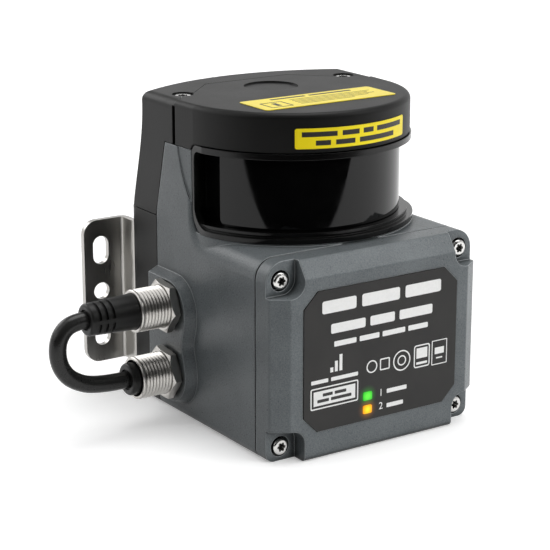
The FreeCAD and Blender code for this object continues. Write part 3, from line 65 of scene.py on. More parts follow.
def addCamera(setup):
    azimuth = math.radians(setup["azimuth"])
    elevation = math.radians(setup["elevation"])
    data = bpy.data.cameras.new("photoCamera")
    data.sensor_width = setup["sensor"]
    data.lens = setup["focalPixels"] / setup["imagePixels"] * setup["sensor"]
    away = Vector((math.sin(azimuth) * math.cos(elevation), -math.cos(azimuth) * math.cos(elevation),
                   math.sin(elevation)))
    camera = bpy.data.objects.new("photoCamera", data)
    camera.location = Vector(setup["target"]) + away * setup["distance"]
    camera.rotation_euler = (math.pi / 2 - elevation, 0, azimuth)
    bpy.context.scene.collection.objects.link(camera)
    bpy.context.scene.camera = camera


addCamera(cameraSetup)
print("camera placed")


# node helpers shared by the finishes
edgeSamples = 6
wearAndHighlightSamples = 8
closedSamples = 8
wearAndHighlightTurn = (0.995, 0.90)  # rounded normal against the true one, from plain to worn and highlighted


def newFinish(name):
    material = bpy.data.materials.new(name)
    material.use_nodes = True
    tree = material.node_tree
    place = tree.nodes.new("ShaderNodeTexCoord").outputs["Object"]
    return material, tree.nodes["Principled BSDF"], place


def join(output, socket):
    output.id_data.links.new(output, socket)


def stretched(place, scale):
    mapping = place.id_data.nodes.new("ShaderNodeMapping")
    mapping.inputs["Scale"].default_value = scale
    join(place, mapping.inputs["Vector"])
    return mapping.outputs["Vector"]


def noise(place, scale, detail=2.0, rough=0.5):
    node = place.id_data.nodes.new("ShaderNodeTexNoise")
    node.inputs["Scale"].default_value = scale
    node.inputs["Detail"].default_value = detail
    node.inputs["Roughness"].default_value = rough
    join(place, node.inputs["Vector"])
    return node.outputs["Fac"]


def spread(value, low, high, lowest=0.3, highest=0.7):
    node = value.id_data.nodes.new("ShaderNodeMapRange")
    node.inputs["From Min"].default_value = lowest
    node.inputs["From Max"].default_value = highest
    node.inputs["To Min"].default_value = low
    node.inputs["To Max"].default_value = high
    join(value, node.inputs["Value"])
    return node.outputs["Result"]


def combine(operation, first, second):
    node = first.id_data.nodes.new("ShaderNodeMath")
    node.operation = operation
    join(first, node.inputs[0])
    if isinstance(second, float):
        node.inputs[1].default_value = second
    else:
        join(second, node.inputs[1])
    return node.outputs[0]


def blend(first, second, share):
    return combine("ADD", combine("MULTIPLY", first, share), combine("MULTIPLY", second, 1 - share))


def mixColour(factor, low, high):
    # inputs 6 and 7 and output 2 are the node's colour sockets
    node = factor.id_data.nodes.new("ShaderNodeMix")
    node.data_type = "RGBA"
    join(factor, node.inputs["Factor"])
    for socket, colour in ((node.inputs[6], low), (node.inputs[7], high)):
        if isinstance(colour, tuple):
            socket.default_value = (*colour, 1)
        else:
            join(colour, socket)
    return node.outputs[2]


def relief(shader, height, depth, edge=0.0):
    # height in 0..1 becomes a bump of that depth in metres, over normals rounded at the edges
    tree = shader.id_data
    bump = tree.nodes.new("ShaderNodeBump")
    bump.inputs["Strength"].default_value = 1.0
    bump.inputs["Distance"].default_value = depth
    join(height, bump.inputs["Height"])
    if edge:
        soft = tree.nodes.new("ShaderNodeBevel")
        soft.samples = edgeSamples
        soft.inputs["Radius"].default_value = edge
        join(soft.outputs["Normal"], bump.inputs["Normal"])
    join(bump.outputs["Normal"], shader.inputs["Normal"])


def paintedCreviceShade(shader, reach, colour, shade, darkest=0.25, lightest=0.85):
    # painted shade: colour darkened where the surface is closed in within the given reach
    closed = shader.id_data.nodes.new("ShaderNodeAmbientOcclusion")
    closed.samples = closedSamples
    closed.inputs["Distance"].default_value = reach
    return mixColour(spread(closed.outputs["AO"], 0.0, 1.0, darkest, lightest), shade, colour)


def wearAndHighlightEdges(shader, colour, reach, wornAndLit):
    # colour made paler where the surface turns within the given reach: partly edge wear, partly a painted
    # highlight on rounded edges, hollow ones too
    tree = shader.id_data
    soft = tree.nodes.new("ShaderNodeBevel")
    soft.samples = wearAndHighlightSamples
    soft.inputs["Radius"].default_value = reach
    turn = tree.nodes.new("ShaderNodeVectorMath")
    turn.operation = "DOT_PRODUCT"
    join(soft.outputs["Normal"], turn.inputs[0])
    join(tree.nodes.new("ShaderNodeNewGeometry").outputs["Normal"], turn.inputs[1])
    return mixColour(spread(turn.outputs["Value"], 0.0, 1.0, *wearAndHighlightTurn), colour, wornAndLit)


def plain(shader, **values):
    for name, value in values.items():
        socket = shader.inputs[name.replace("_", " ")]
        socket.default_value = (*value, 1) if isinstance(value, tuple) else value


finishes = {}

# powder coat on the castings: fine pebbled skin, faint lighter flecks, painted shade in its creases, paler
# edges from wear and painted highlight
castingLook = {
    "dark": (0.091, 0.103, 0.109),
    "light": (0.154, 0.170, 0.177),
    "pebble": 1100.0,
    "fleck": 2200.0,
    "cloud": 45.0,
    "fleckShare": 0.65,
    "contrast": (0.36, 0.64),
    "depth": 0.11 * mm,
    "edge": 1.1 * mm,
    "rough": (0.26, 0.40),
    "closed": 4.2 * mm,
    "shade": (0.026, 0.030, 0.031),
    "shadeFrom": 0.45,
    "shadeTo": 0.92,
    "wearAndHighlightReach": 0.5 * mm,
    "wornAndLit": (0.34, 0.36, 0.37),
    "specular": 0.3,
}


def powderCoat(look):
    material, shader, place = newFinish("powderCoat")
    pebble = noise(place, look["pebble"], detail=3.0, rough=0.55)
    fleck = noise(place, look["fleck"])
    cloud = noise(place, look["cloud"], detail=3.0)
    tone = blend(fleck, cloud, look["fleckShare"])
    coat = mixColour(spread(tone, 0.0, 1.0, *look["contrast"]), look["dark"], look["light"])
    # painted shade in the casting's creases and recesses
    coat = paintedCreviceShade(shader, look["closed"], coat, look["shade"], look["shadeFrom"], look["shadeTo"])
    # paler edges: partly wear, partly painted highlight
    join(wearAndHighlightEdges(shader, coat, look["wearAndHighlightReach"], look["wornAndLit"]), shader.inputs["Base Color"])
    join(spread(pebble, *look["rough"]), shader.inputs["Roughness"])
    relief(shader, pebble, look["depth"], look["edge"])
    plain(shader, Specular_IOR_Level=look["specular"])
    return material


finishes["grey_casting"] = powderCoat(castingLook)

# moulded pieces: spark-eroded grain, slight cloudiness in the gloss
shellLook = {"dark": (0.0040, 0.0040, 0.0038), "light": (0.0065, 0.0065, 0.0062), "grain": 2400.0,
             "depth": 0.012 * mm, "edge": 0.5 * mm, "rough": (0.40, 0.48), "specular": 0.20}
frameLook = {"dark": (0.0015, 0.0015, 0.0015), "light": (0.0028, 0.0028, 0.0027), "grain": 1800.0,
             "depth": 0.004 * mm, "edge": 0.4 * mm, "rough": (0.16, 0.22), "specular": 0.28}
plugLook = {"dark": (0.0055, 0.0055, 0.0052), "light": (0.0090, 0.0090, 0.0085), "grain": 3200.0,
            "depth": 0.012 * mm, "edge": 0.35 * mm, "rough": (0.32, 0.42), "specular": 0.26}
jacketLook = {"dark": (0.0080, 0.0080, 0.0077), "light": (0.0115, 0.0115, 0.0111), "grain": 1500.0,
              "depth": 0.010 * mm, "edge": 0.0, "rough": (0.24, 0.32), "specular": 0.34}
gasketLook = {"dark": (0.006, 0.006, 0.006), "light": (0.011, 0.011, 0.011), "grain": 2000.0,
              "depth": 0.03 * mm, "edge": 0.0, "rough": (0.6, 0.75), "specular": 0.3}
insertLook = {"dark": (0.030, 0.030, 0.030), "light": (0.042, 0.042, 0.042), "grain": 2600.0,
              "depth": 0.02 * mm, "edge": 0.2 * mm, "rough": (0.4, 0.5), "specular": 0.5}
mouldShared = {"cloud": 60.0, "cloudShare": 0.5}


def mouldedPlastic(name, look):
    material, shader, place = newFinish(name)
    grain = noise(place, look["grain"], rough=0.6)
    cloud = noise(place, mouldShared["cloud"], detail=3.0)
    join(mixColour(spread(cloud, 0.0, 1.0), look["dark"], look["light"]), shader.inputs["Base Color"])
    gloss = blend(cloud, grain, mouldShared["cloudShare"])
    join(spread(gloss, *look["rough"]), shader.inputs["Roughness"])
    relief(shader, grain, look["depth"], look["edge"])
    plain(shader, Specular_IOR_Level=look["specular"])
    return material


finishes["black_shell"] = mouldedPlastic("shellPlastic", shellLook)
finishes["black_frame"] = mouldedPlastic("framePlastic", frameLook)
finishes["plug_black"] = mouldedPlastic("plugRubber", plugLook)
finishes["cable_jacket"] = mouldedPlastic("cableJacket", jacketLook)
finishes["gasket_rubber"] = mouldedPlastic("gasketRubber", gasketLook)
finishes["insert_plastic"] = mouldedPlastic("insertPlastic", insertLook)

# the dark window: polished, with the faintest unevenness
windowLook = {"dark": (0.0015, 0.0015, 0.0016), "light": (0.0022, 0.0022, 0.0023), "rough": (0.03, 0.07),
              "haze": 140.0, "wave": 18.0, "depth": 0.02 * mm, "ior": 1.45, "specular": 0.31}


def windowPane(look):
    material, shader, place = newFinish("windowPane")
    wave = noise(place, look["wave"])
    haze = noise(place, look["haze"], detail=4.0)
    join(mixColour(spread(haze, 0.0, 1.0), look["dark"], look["light"]), shader.inputs["Base Color"])
    join(spread(haze, *look["rough"]), shader.inputs["Roughness"])
    relief(shader, wave, look["depth"])
    plain(shader, IOR=look["ior"], Specular_IOR_Level=look["specular"])
    return material


finishes["dark_window"] = windowPane(windowLook)

# label films: satin face with a fine tooth
plateLook = {"dark": (0.017, 0.0165, 0.016), "light": (0.023, 0.022, 0.021), "tooth": 4200.0,
             "depth": 0.008 * mm, "rough": (0.36, 0.44), "specular": 0.3}
yellowLook = {"dark": (0.84, 0.67, 0.004), "light": (0.92, 0.75, 0.006), "tooth": 3600.0,
              "depth": 0.006 * mm, "rough": (0.28, 0.36), "specular": 0.45}
filmShared = {"fade": 70.0, "edge": 0.2 * mm}


def labelFilm(name, look):
    material, shader, place = newFinish(name)
    tooth = noise(place, look["tooth"])
    fade = noise(place, filmShared["fade"], detail=3.0)
    join(mixColour(spread(fade, 0.0, 1.0), look["dark"], look["light"]), shader.inputs["Base Color"])
    join(spread(tooth, *look["rough"]), shader.inputs["Roughness"])
    relief(shader, tooth, look["depth"], filmShared["edge"])
    plain(shader, Specular_IOR_Level=look["specular"])
    return material


finishes["label_black"] = labelFilm("plateFilm", plateLook)
finishes["yellow_label"] = labelFilm("yellowFilm", yellowLook)

# painted light: the plate film glows a little way around the two lamps, as their light would spill over it
spillLook = {"power_indicator": (0.010, 0.17, 0.008), "status_indicator": (0.22, 0.085, 0.002),
             "reach": 3.4 * mm, "falloff": 2.0}


def paintedLampGlow(material, look):
    tree = material.node_tree
    shader = tree.nodes["Principled BSDF"]
    place = tree.nodes["Texture Coordinate"].outputs["Object"]
    glow = (0.0, 0.0, 0.0)
    for lamp in ("power_indicator", "status_indicator"):
        low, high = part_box(lamp)
        offset = tree.nodes.new("ShaderNodeVectorMath")
        offset.operation = "DISTANCE"
        join(place, offset.inputs[0])
        offset.inputs[1].default_value = ((low.x + high.x) / 2, low.y, (low.z + high.z) / 2)
        inner = (high.z - low.z) / 2
        far = spread(offset.outputs["Value"], 1.0, 0.0, inner, inner + look["reach"])
        glow = mixColour(combine("POWER", far, look["falloff"]), glow, look[lamp])
    # painted light: emission on the plate near each lamp
    join(glow, shader.inputs["Emission Color"])
    plain(shader, Emission_Strength=1.0)


paintedLampGlow(finishes["label_black"], spillLook)

# metals: streaks along one direction of work, gloss that changes with them, painted shade in their crevices
nickelLook = {"dark": (0.46, 0.445, 0.42), "light": (0.55, 0.535, 0.51), "lines": (600, 150, 150),
              "closed": 0.5 * mm, "depth": 0.0004 * mm, "edge": 0.12 * mm, "rough": (0.28, 0.34), "grip": 0.0}
sheetLook = {"dark": (0.41, 0.40, 0.38), "light": (0.47, 0.46, 0.44), "lines": (900, 900, 30),
             "closed": 0.8 * mm, "depth": 0.0003 * mm, "edge": 0.35 * mm, "rough": (0.26, 0.32), "grip": 0.3}
screwLook = {"dark": (0.56, 0.555, 0.54), "light": (0.70, 0.695, 0.68), "lines": (700, 700, 700),
             "closed": 1.8 * mm, "depth": 0.001 * mm, "edge": 0.25 * mm, "rough": (0.16, 0.26), "grip": 0.0}
bearingLook = {"dark": (0.50, 0.50, 0.50), "light": (0.64, 0.64, 0.64), "lines": (300, 300, 6000),
               "closed": 1.0 * mm, "depth": 0.003 * mm, "edge": 0.15 * mm, "rough": (0.18, 0.28), "grip": 0.2}
aluminiumLook = {"dark": (0.62, 0.63, 0.65), "light": (0.76, 0.77, 0.79), "lines": (900, 900, 2400),
                 "closed": 1.5 * mm, "depth": 0.006 * mm, "edge": 0.3 * mm, "rough": (0.32, 0.46),
                 "grip": 0.0}
stackLook = {"dark": (0.16, 0.16, 0.17), "light": (0.30, 0.30, 0.31), "lines": (200, 200, 5000),
             "closed": 0.8 * mm, "depth": 0.03 * mm, "edge": 0.0, "rough": (0.35, 0.5), "grip": 0.0}
brassLook = {"dark": (0.66, 0.46, 0.16), "light": (0.82, 0.62, 0.27), "lines": (4000, 600, 600),
             "closed": 0.6 * mm, "depth": 0.003 * mm, "edge": 0.1 * mm, "rough": (0.2, 0.3), "grip": 0.0}
mirrorLook = {"dark": (0.88, 0.88, 0.885), "light": (0.93, 0.93, 0.935), "lines": (80, 80, 80),
              "closed": 0.3 * mm, "depth": 0.0005 * mm, "edge": 0.0, "rough": (0.015, 0.03), "grip": 0.0}
wireLook = {"dark": (0.46, 0.15, 0.05), "light": (0.70, 0.29, 0.11), "lines": (3000, 3000, 3000),
            "closed": 0.8 * mm, "depth": 0.05 * mm, "edge": 0.0, "rough": (0.25, 0.4), "grip": 0.0}
magnetLook = {"dark": (0.07, 0.07, 0.075), "light": (0.13, 0.13, 0.135), "lines": (1500, 1500, 1500),
              "closed": 0.5 * mm, "depth": 0.02 * mm, "edge": 0.0, "rough": (0.45, 0.6), "grip": 0.0}
metalShared = {"cloud": 90.0, "lineShare": 0.6, "creviceTone": 0.12}


def workedMetal(name, look):
    material, shader, place = newFinish(name)
    lines = noise(stretched(place, look["lines"]), scale=1.0, detail=3.0, rough=0.6)
    cloud = noise(place, metalShared["cloud"])
    tone = blend(lines, cloud, metalShared["lineShare"])
    metal = mixColour(spread(tone, 0.0, 1.0), look["dark"], look["light"])
    # painted shade: the metal's dark tone, dimmed further, fills where the surface is closed in
    creviceShadeColour = tuple(metalShared["creviceTone"] * part for part in look["dark"])
    metal = paintedCreviceShade(shader, look["closed"], metal, creviceShadeColour)
    join(metal, shader.inputs["Base Color"])
    join(spread(tone, *look["rough"]), shader.inputs["Roughness"])
    relief(shader, lines, look["depth"], look["edge"])
    plain(shader, Metallic=1.0, Anisotropic=look["grip"])
    return material


finishes["nickel"] = workedMetal("nickelPlate", nickelLook)
finishes["stainless"] = workedMetal("rolledSheet", sheetLook)
finishes["screw_steel"] = workedMetal("screwSteel", screwLook)
finishes["bearing_steel"] = workedMetal("groundSteel", bearingLook)
finishes["bare_aluminium"] = workedMetal("castAluminium", aluminiumLook)
finishes["lamination"] = workedMetal("stackedSheet", stackLook)
finishes["contact_brass"] = workedMetal("contactBrass", brassLook)
finishes["mirror_face"] = workedMetal("mirrorSilver", mirrorLook)
finishes["copper_wire"] = workedMetal("coilWire", wireLook)
finishes["magnet"] = workedMetal("sinteredMagnet", magnetLook)

# the two lamps: lit from behind, brighter in the middle of the light pipe
greenLook = {"node": "power_indicator", "edge": (0.02, 0.50, 0.02), "core": (0.13, 0.93, 0.05),
             "body": (0.01, 0.10, 0.01)}
amberLook = {"node": "status_indicator", "edge": (0.95, 0.27, 0.0), "core": (0.97, 0.86, 0.012),
             "body": (0.10, 0.06, 0.004)}
lampShared = {"coreRadius": 0.6 * mm, "fadeShare": 0.6, "grain": 1500.0, "depth": 0.01 * mm,
              "edge": 0.4 * mm, "rough": 0.3, "specular": 0.3}


def litLens(name, look):
    material, shader, place = newFinish(name)
    low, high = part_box(look["node"])
    middle = (low + high) / 2
    offset = place.id_data.nodes.new("ShaderNodeVectorMath")
    offset.operation = "DISTANCE"
    join(place, offset.inputs[0])
    offset.inputs[1].default_value = (middle.x, low.y, middle.z)
    fadeEnd = (high.x - low.x) * lampShared["fadeShare"]
    near = spread(offset.outputs["Value"], 1.0, 0.0, lampShared["coreRadius"], fadeEnd)
    join(mixColour(near, look["edge"], look["core"]), shader.inputs["Emission Color"])
    relief(shader, noise(place, lampShared["grain"]), lampShared["depth"], lampShared["edge"])
    plain(shader, Base_Color=look["body"], Emission_Strength=1.0, Roughness=lampShared["rough"],
          Specular_IOR_Level=lampShared["specular"])
    return material


finishes["green_lens"] = litLens("greenLamp", greenLook)
finishes["amber_lens"] = litLens("amberLamp", amberLook)

# circuit boards: green mask with paler copper runs under it
boardLook = {"mask": (0.010, 0.085, 0.030), "run": (0.025, 0.160, 0.060), "pitch": 260.0, "runWidth": 0.06,
             "depth": 0.03 * mm, "gloss": 400.0, "rough": (0.3, 0.42)}


def boardMask(look):
    material, shader, place = newFinish("boardMask")
    brick = place.id_data.nodes.new("ShaderNodeTexBrick")
    brick.inputs["Scale"].default_value = look["pitch"]
    brick.inputs["Mortar Size"].default_value = look["runWidth"]
    brick.inputs["Color1"].default_value = (*look["mask"], 1)
    brick.inputs["Color2"].default_value = (*look["mask"], 1)
    brick.inputs["Mortar"].default_value = (*look["run"], 1)
    join(place, brick.inputs["Vector"])
    join(brick.outputs["Color"], shader.inputs["Base Color"])
    relief(shader, brick.outputs["Fac"], look["depth"])
    join(spread(noise(place, look["gloss"]), *look["rough"]), shader.inputs["Roughness"])
    return material


finishes["circuit_board"] = boardMask(boardLook)

# the receiving lens, clear with a faint coating tint
lensLook = {"low": (0.90, 0.95, 0.97), "high": (0.97, 0.98, 1.0), "tint": 30.0, "wave": 60.0,
            "depth": 0.002 * mm, "rough": 0.03, "ior": 1.52}


def lensGlass(look):
    material, shader, place = newFinish("lensGlass")
    tint = noise(place, look["tint"])
    join(mixColour(spread(tint, 0.0, 1.0), look["low"], look["high"]), shader.inputs["Base Color"])
    relief(shader, noise(place, look["wave"]), look["depth"])
    plain(shader, Transmission_Weight=1.0, Roughness=look["rough"], IOR=look["ior"])
    return material


finishes["lens_glass"] = lensGlass(lensLook)

for name, solid in nodes.items():
    for slot in solid.material_slots:
        slot.material = finishes[slotOf[name]]
print("finishes given:", len(finishes))

# jumper lead: the same route as the solid, straight out of each plug and one loop between
# the route is x and height in millimetres, all of it at one distance to the side
leadSpec = {
    "route": ((-95.0, 50.0), (-101.5, 50.0), (-106.8, 45.2), (-108.1, 38.0), (-106.4, 31.0), (-101.5, 25.2),
              (-91.0, 20.9), (-76.6, 20.9)),
    "side": 7.0,
    "radius": 3.6 * mm,
    "length": 60.0 * mm,
    "roundSteps": 10,
    "lengthSteps": 24,
    "order": 3,
}


def addLead(spec):
    route = [Vector((x, spec["side"], z)) * mm for x, z in spec["route"]]
    curve = bpy.data.curves.new("jumper_lead", "CURVE")
    curve.dimensions = "3D"
    curve.bevel_depth = spec["radius"]
    curve.bevel_resolution = spec["roundSteps"]
    curve.resolution_u = spec["lengthSteps"]
    curve.use_fill_caps = True
    spline = curve.splines.new("NURBS")
    spline.points.add(len(route) - 1)
    for point, place in zip(spline.points, route):
        point.co = (*place, 1)
    spline.order_u = spec["order"]
    spline.use_endpoint_u = True
    curve.materials.append(finishes["cable_jacket"])
    lead = bpy.data.objects.new("jumper_lead", curve)
    bpy.context.scene.collection.objects.link(lead)
    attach(lead, "housing")
    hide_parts("jumper_cable")


addLead(leadSpec)
print("jumper lead laid")

# ink: flat raised strips, each a run of sections across its width
inkLook = {
    "white": {"dark": (0.85, 0.85, 0.84), "light": (0.90, 0.90, 0.89), "rough": (0.45, 0.55)},
    "black": {"dark": (0.012, 0.012, 0.011), "light": (0.022, 0.021, 0.020), "rough": (0.40, 0.50)},
}
inkShared = {"patch": 900.0, "depth": 0.006 * mm}
inkDepth = 0.04 * mm
cornerSteps = 6
wordCorner = 0.18  # share of a bar's height
mitreLimit = 0.5


def inkFinish(name, look):
    material, shader, place = newFinish(name)
    patch = noise(place, inkShared["patch"], detail=3.0)
    join(mixColour(spread(patch, 0.0, 1.0), look["dark"], look["light"]), shader.inputs["Base Color"])
    join(spread(patch, *look["rough"]), shader.inputs["Roughness"])
    relief(shader, patch, inkShared["depth"])
    return material


inks = {name: inkFinish(name + "Ink", look) for name, look in inkLook.items()}


def bar(left, right, low, high, corner=0.0, pieces=1):
    sections = []
    for i in range(pieces + 1):
        u = left + (right - left) * i / pieces
        sections.append(((u, low), (u, high)))
    if corner:
        sections = sections[1:-1]
        for i in range(cornerSteps + 1):
            turn = math.pi / 2 * i / cornerSteps
            inset = corner * (1 - math.sin(turn))
            along = corner * (1 - math.cos(turn))
            sections.append(((left + along, low + inset), (left + along, high - inset)))
            sections.append(((right - along, low + inset), (right - along, high - inset)))
        sections.sort()
    return sections, False


def loop(points, width):
    # closed outline of even width around a convex run of points
    middle = Vector((sum(p[0] for p in points), sum(p[1] for p in points))) / len(points)
    sections = []
    count = len(points)
    for i, point in enumerate(points):
        here = Vector(point)
        before = (here - Vector(points[i - 1])).normalized()
        after = (Vector(points[(i + 1) % count]) - here).normalized()
        normal = Vector((-(before.y + after.y), before.x + after.x)).normalized()
        if normal.dot(middle - here) < 0:
            normal.negate()
        reach = width / max(mitreLimit, abs(normal.dot(Vector((-before.y, before.x)))))
        sections.append((tuple(here), tuple(here + normal * reach)))
    return sections, True


def ringPoints(x, z, radius, count=40):
    turns = [2 * math.pi * i / count for i in range(count)]
    return [(x + radius * math.cos(t), z + radius * math.sin(t)) for t in turns]


def squarePoints(left, right, low, high, corner):
    points = []
    for x, z, start in ((right - corner, high - corner, 0), (left + corner, high - corner, 90),
                        (left + corner, low + corner, 180), (right - corner, low + corner, 270)):
        for i in range(cornerSteps + 1):
            turn = math.radians(start + 90 * i / cornerSteps)
            points.append((x + corner * math.cos(turn), z + corner * math.sin(turn)))
    return points


def printInk(name, shapes, place, ink):
    bm = bmesh.new()
    for sections, closed in shapes:
        rings = []
        for low, high in sections:
            corners = ((low, 0.0), (high, 0.0), (high, inkDepth), (low, inkDepth))
            rings.append([bm.verts.new(place(u * mm, v * mm, h)) for (u, v), h in corners])
        pairs = list(zip(rings, rings[1:] + rings[:1])) if closed else list(zip(rings, rings[1:]))
        for first, second in pairs:
            for i in range(4):
                bm.faces.new((first[i], first[(i + 1) % 4], second[(i + 1) % 4], second[i]))
        if not closed:
            bm.faces.new(rings[0])
            bm.faces.new(rings[-1])
    bmesh.ops.recalc_face_normals(bm, faces=bm.faces[:])
    mesh = bpy.data.meshes.new(name)
    bm.to_mesh(mesh)
    bm.free()
    mesh.materials.append(inks[ink])
    piece = bpy.data.objects.new(name, mesh)
    bpy.context.scene.collection.objects.link(piece)
    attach(piece, "housing")


def words(spans, low, high):
    return [bar(left, right, low, high, (high - low) * wordCorner) for left, right in spans]


# front plate, in millimetres: word bars as spans, low and high, plain outlined marks, one framed field
platePrint = {
    "heading": (((-29.5, -13.0), (-10.2, 8.6), (11.4, 29.6)), 60.3, 65.5),
    "second": (((-25.2, -8.4), (-6.0, 6.2), (8.6, 25.4)), 51.6, 55.6),
    "third": (((-23.6, -12.8), (-11.2, -1.4), (0.2, 11.6), (13.2, 23.2)), 46.0, 48.2),
    "caption": (((-34.6, -26.4), (-25.0, -11.8)), 31.9, 33.5),
    "legends": ((((2.8, 12.9),), 21.4, 23.2), (((2.8, 11.2),), 15.2, 17.0)),
    "steps": ((-25.4, -24.0, 37.6), (-23.2, -21.8, 40.0), (-21.0, -19.6, 42.4)),
    "stepFoot": 35.6,
    "line": 0.55,
    "thinLine": 0.385,
    "rings": ((-4.9, 34.2, 2.7), (10.2, 34.0, 4.4), (10.2, 34.0, 2.2)),
    "frames": ((-0.9, 4.1, 31.7, 36.7, 0.6), (16.4, 24.6, 29.2, 39.0, 1.2), (-34.9, -11.6, 21.2, 30.2, 0.8)),
    "thinFrame": (25.6, 33.6, 28.8, 39.4, 0.3),
    "blocks": ((17.7, 23.3, 30.6, 31.6), (17.7, 23.3, 33.2, 37.6), (27.2, 32.0, 33.4, 36.2),
               (28.0, 31.2, 31.4, 32.0), (-33.4, -13.1, 22.7, 28.7)),
}
fieldPrint = {
    "rows": ((((-29.0, -24.2), (-23.2, -17.6)), 26.2, 27.5),
             (((-31.6, -26.0), (-25.0, -15.0)), 23.9, 25.2)),
}


def onPlate(u, v, height):
    return Vector((u, plateFace - height, v))


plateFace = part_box("front_label_plate")[0].y
shapes = []
for row in ("heading", "second", "third", "caption"):
    shapes += words(*platePrint[row])
for legend in platePrint["legends"]:
    shapes += words(*legend)
for left, right, top in platePrint["steps"]:
    shapes.append(bar(left, right, platePrint["stepFoot"], top))
for ring in platePrint["rings"]:
    shapes.append(loop(ringPoints(*ring), platePrint["line"]))
for outline in platePrint["frames"]:
    shapes.append(loop(squarePoints(*outline), platePrint["line"]))
shapes.append(loop(squarePoints(*platePrint["thinFrame"]), platePrint["thinLine"]))
for block in platePrint["blocks"]:
    shapes.append(bar(*block))
printInk("plate_print", shapes, onPlate, "white")


def onField(u, v, height):
    return onPlate(u, v, height + inkDepth)


shapes = []
for row in fieldPrint["rows"]:
    shapes += words(*row)
printInk("field_print", shapes, onField, "black")
print("plate printed")

# numerals beside the lamps
numeralSpec = {
    "size": 4.3 * mm,
    "x": -1.2 * mm,
    "rows": (("1", "power_indicator"), ("2", "status_indicator")),
}


def addNumerals(spec):
    for figure, lamp in spec["rows"]:
        low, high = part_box(lamp)
        curve = bpy.data.curves.new("numeral" + figure, "FONT")
        curve.body = figure
        curve.size = spec["size"]
        curve.extrude = inkDepth / 2
        curve.align_y = "CENTER"
        text = bpy.data.objects.new("numeral" + figure, curve)
        bpy.context.scene.collection.objects.link(text)
        bpy.context.view_layer.update()
        mesh = bpy.data.meshes.new_from_object(text.evaluated_get(bpy.context.evaluated_depsgraph_get()))
        bpy.data.objects.remove(text)
        mesh.materials.clear()
        mesh.materials.append(inks["white"])
        piece = bpy.data.objects.new("lamp_numeral_" + figure, mesh)
        piece.location = (spec["x"], plateFace - inkDepth / 2, (low.z + high.z) / 2)
        piece.rotation_euler = (math.pi / 2, 0, 0)
        bpy.context.scene.collection.objects.link(piece)
        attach(piece, "housing")


addNumerals(numeralSpec)

# yellow labels, in millimetres: rows of plain dark bars
topPrint = {
    "heading": (((-19.0, -2.0), (0.0, 21.0)), -15.4, -13.7),
    "firstRow": -18.4,
    "pitch": 2.2,
    "height": 0.5,
    "left": -12.5,
    "ends": (27.5, 25.0, 27.0, 22.5, 14.0),
    "frame": (-27.6, -17.0, -29.2, -19.2, 0.8),
    "mark": (-23.4, -21.2, -26.8, -21.6),
    "line": 0.7,
}


def onTop(u, v, height):
    return Vector((u, v, topFace + height))


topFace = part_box("top_label")[1].z
shapes = words(*topPrint["heading"])
for i, end in enumerate(topPrint["ends"]):
    high = topPrint["firstRow"] - i * topPrint["pitch"]
    shapes.append(bar(topPrint["left"], end, high - topPrint["height"], high))
shapes.append(loop(squarePoints(*topPrint["frame"]), topPrint["line"]))
shapes.append(bar(*topPrint["mark"]))
printInk("top_print", shapes, onTop, "black")

browPrint = {
    "rows": ((((-25.2, -10.6), (-8.4, -0.6), (1.4, 6.6), (8.6, 25.0)), 126.4, 128.4),
             (((-19.6, -13.4), (-11.2, -2.6), (-0.4, 19.4)), 122.9, 124.9)),
    "pieces": 12,
}


def onBrow(u, v, height):
    turn = u / browRadius
    return Vector((math.sin(turn), -math.cos(turn), 0)) * (browRadius + height) + Vector((0, 0, v))


browRadius = -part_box("brow_label")[0].y
shapes = []
for spans, low, high in browPrint["rows"]:
    for left, right in spans:
        shapes.append(bar(left, right, low, high, pieces=browPrint["pieces"]))
printInk("brow_print", shapes, onBrow, "black")
print("yellow labels printed")

# stage: white floor and sky, soft sun overhead, a dark room in front that only reflections show
stageLook = {
    "floorHalf": 4.0,
    "floorColour": (0.93, 0.93, 0.93),
    "floorBounce": (0.32, 0.32, 0.32),
    "floorLift": (0.27, 0.44),
    "liftReach": (0.20, 0.75),
    "skyLight": 0.20,
    "skyWhite": 0.36,
    "skyDark": 0.62,
    "skyTop": 0.14,
    "sunStrength": 1.60,
    "sunSpread": 45.0,
    "sunTilt": (-6.0, 14.0),
    "edgeAzimuth": -24.5,
    "edgeDistance": 0.325,
    "wallDistance": 1.3,
    "wallHeight": 0.85,
    "darkRise": 1.0 * mm,
}
# soft boxes: place, width, power, the point each one faces and what shows it
softBoxes = {
    "leftKey": ((-0.55, 0.25, 0.62), 0.80, 2.4, (-0.05, 0.0, 0.07), "both"),
    "frontKey": ((0.46, -1.14, 0.55), 1.20, 14.0, (0.0, -0.05, 0.05), "colour"),
    "bevelGlow": ((0.69, -0.69, 0.85), 0.50, 2.2, (0.0, -0.05, 0.08), "gloss"),
    "ridgeGlow": ((-0.31, 0.88, 0.58), 0.55, 2.6, (-0.05, 0.0, 0.08), "gloss"),
}


def seen(tree):
    # 1 for rays from the camera, in mirrors and through glass
    path = tree.nodes.new("ShaderNodeLightPath")
    straight = combine("MAXIMUM", path.outputs["Is Camera Ray"], path.outputs["Is Glossy Ray"])
    return combine("MAXIMUM", straight, path.outputs["Is Transmission Ray"])


def addFlat(name, corners):
    mesh = bpy.data.meshes.new(name)
    mesh.from_pydata(corners, [], [tuple(range(len(corners)))])
    piece = bpy.data.objects.new(name, mesh)
    bpy.context.scene.collection.objects.link(piece)
    return piece


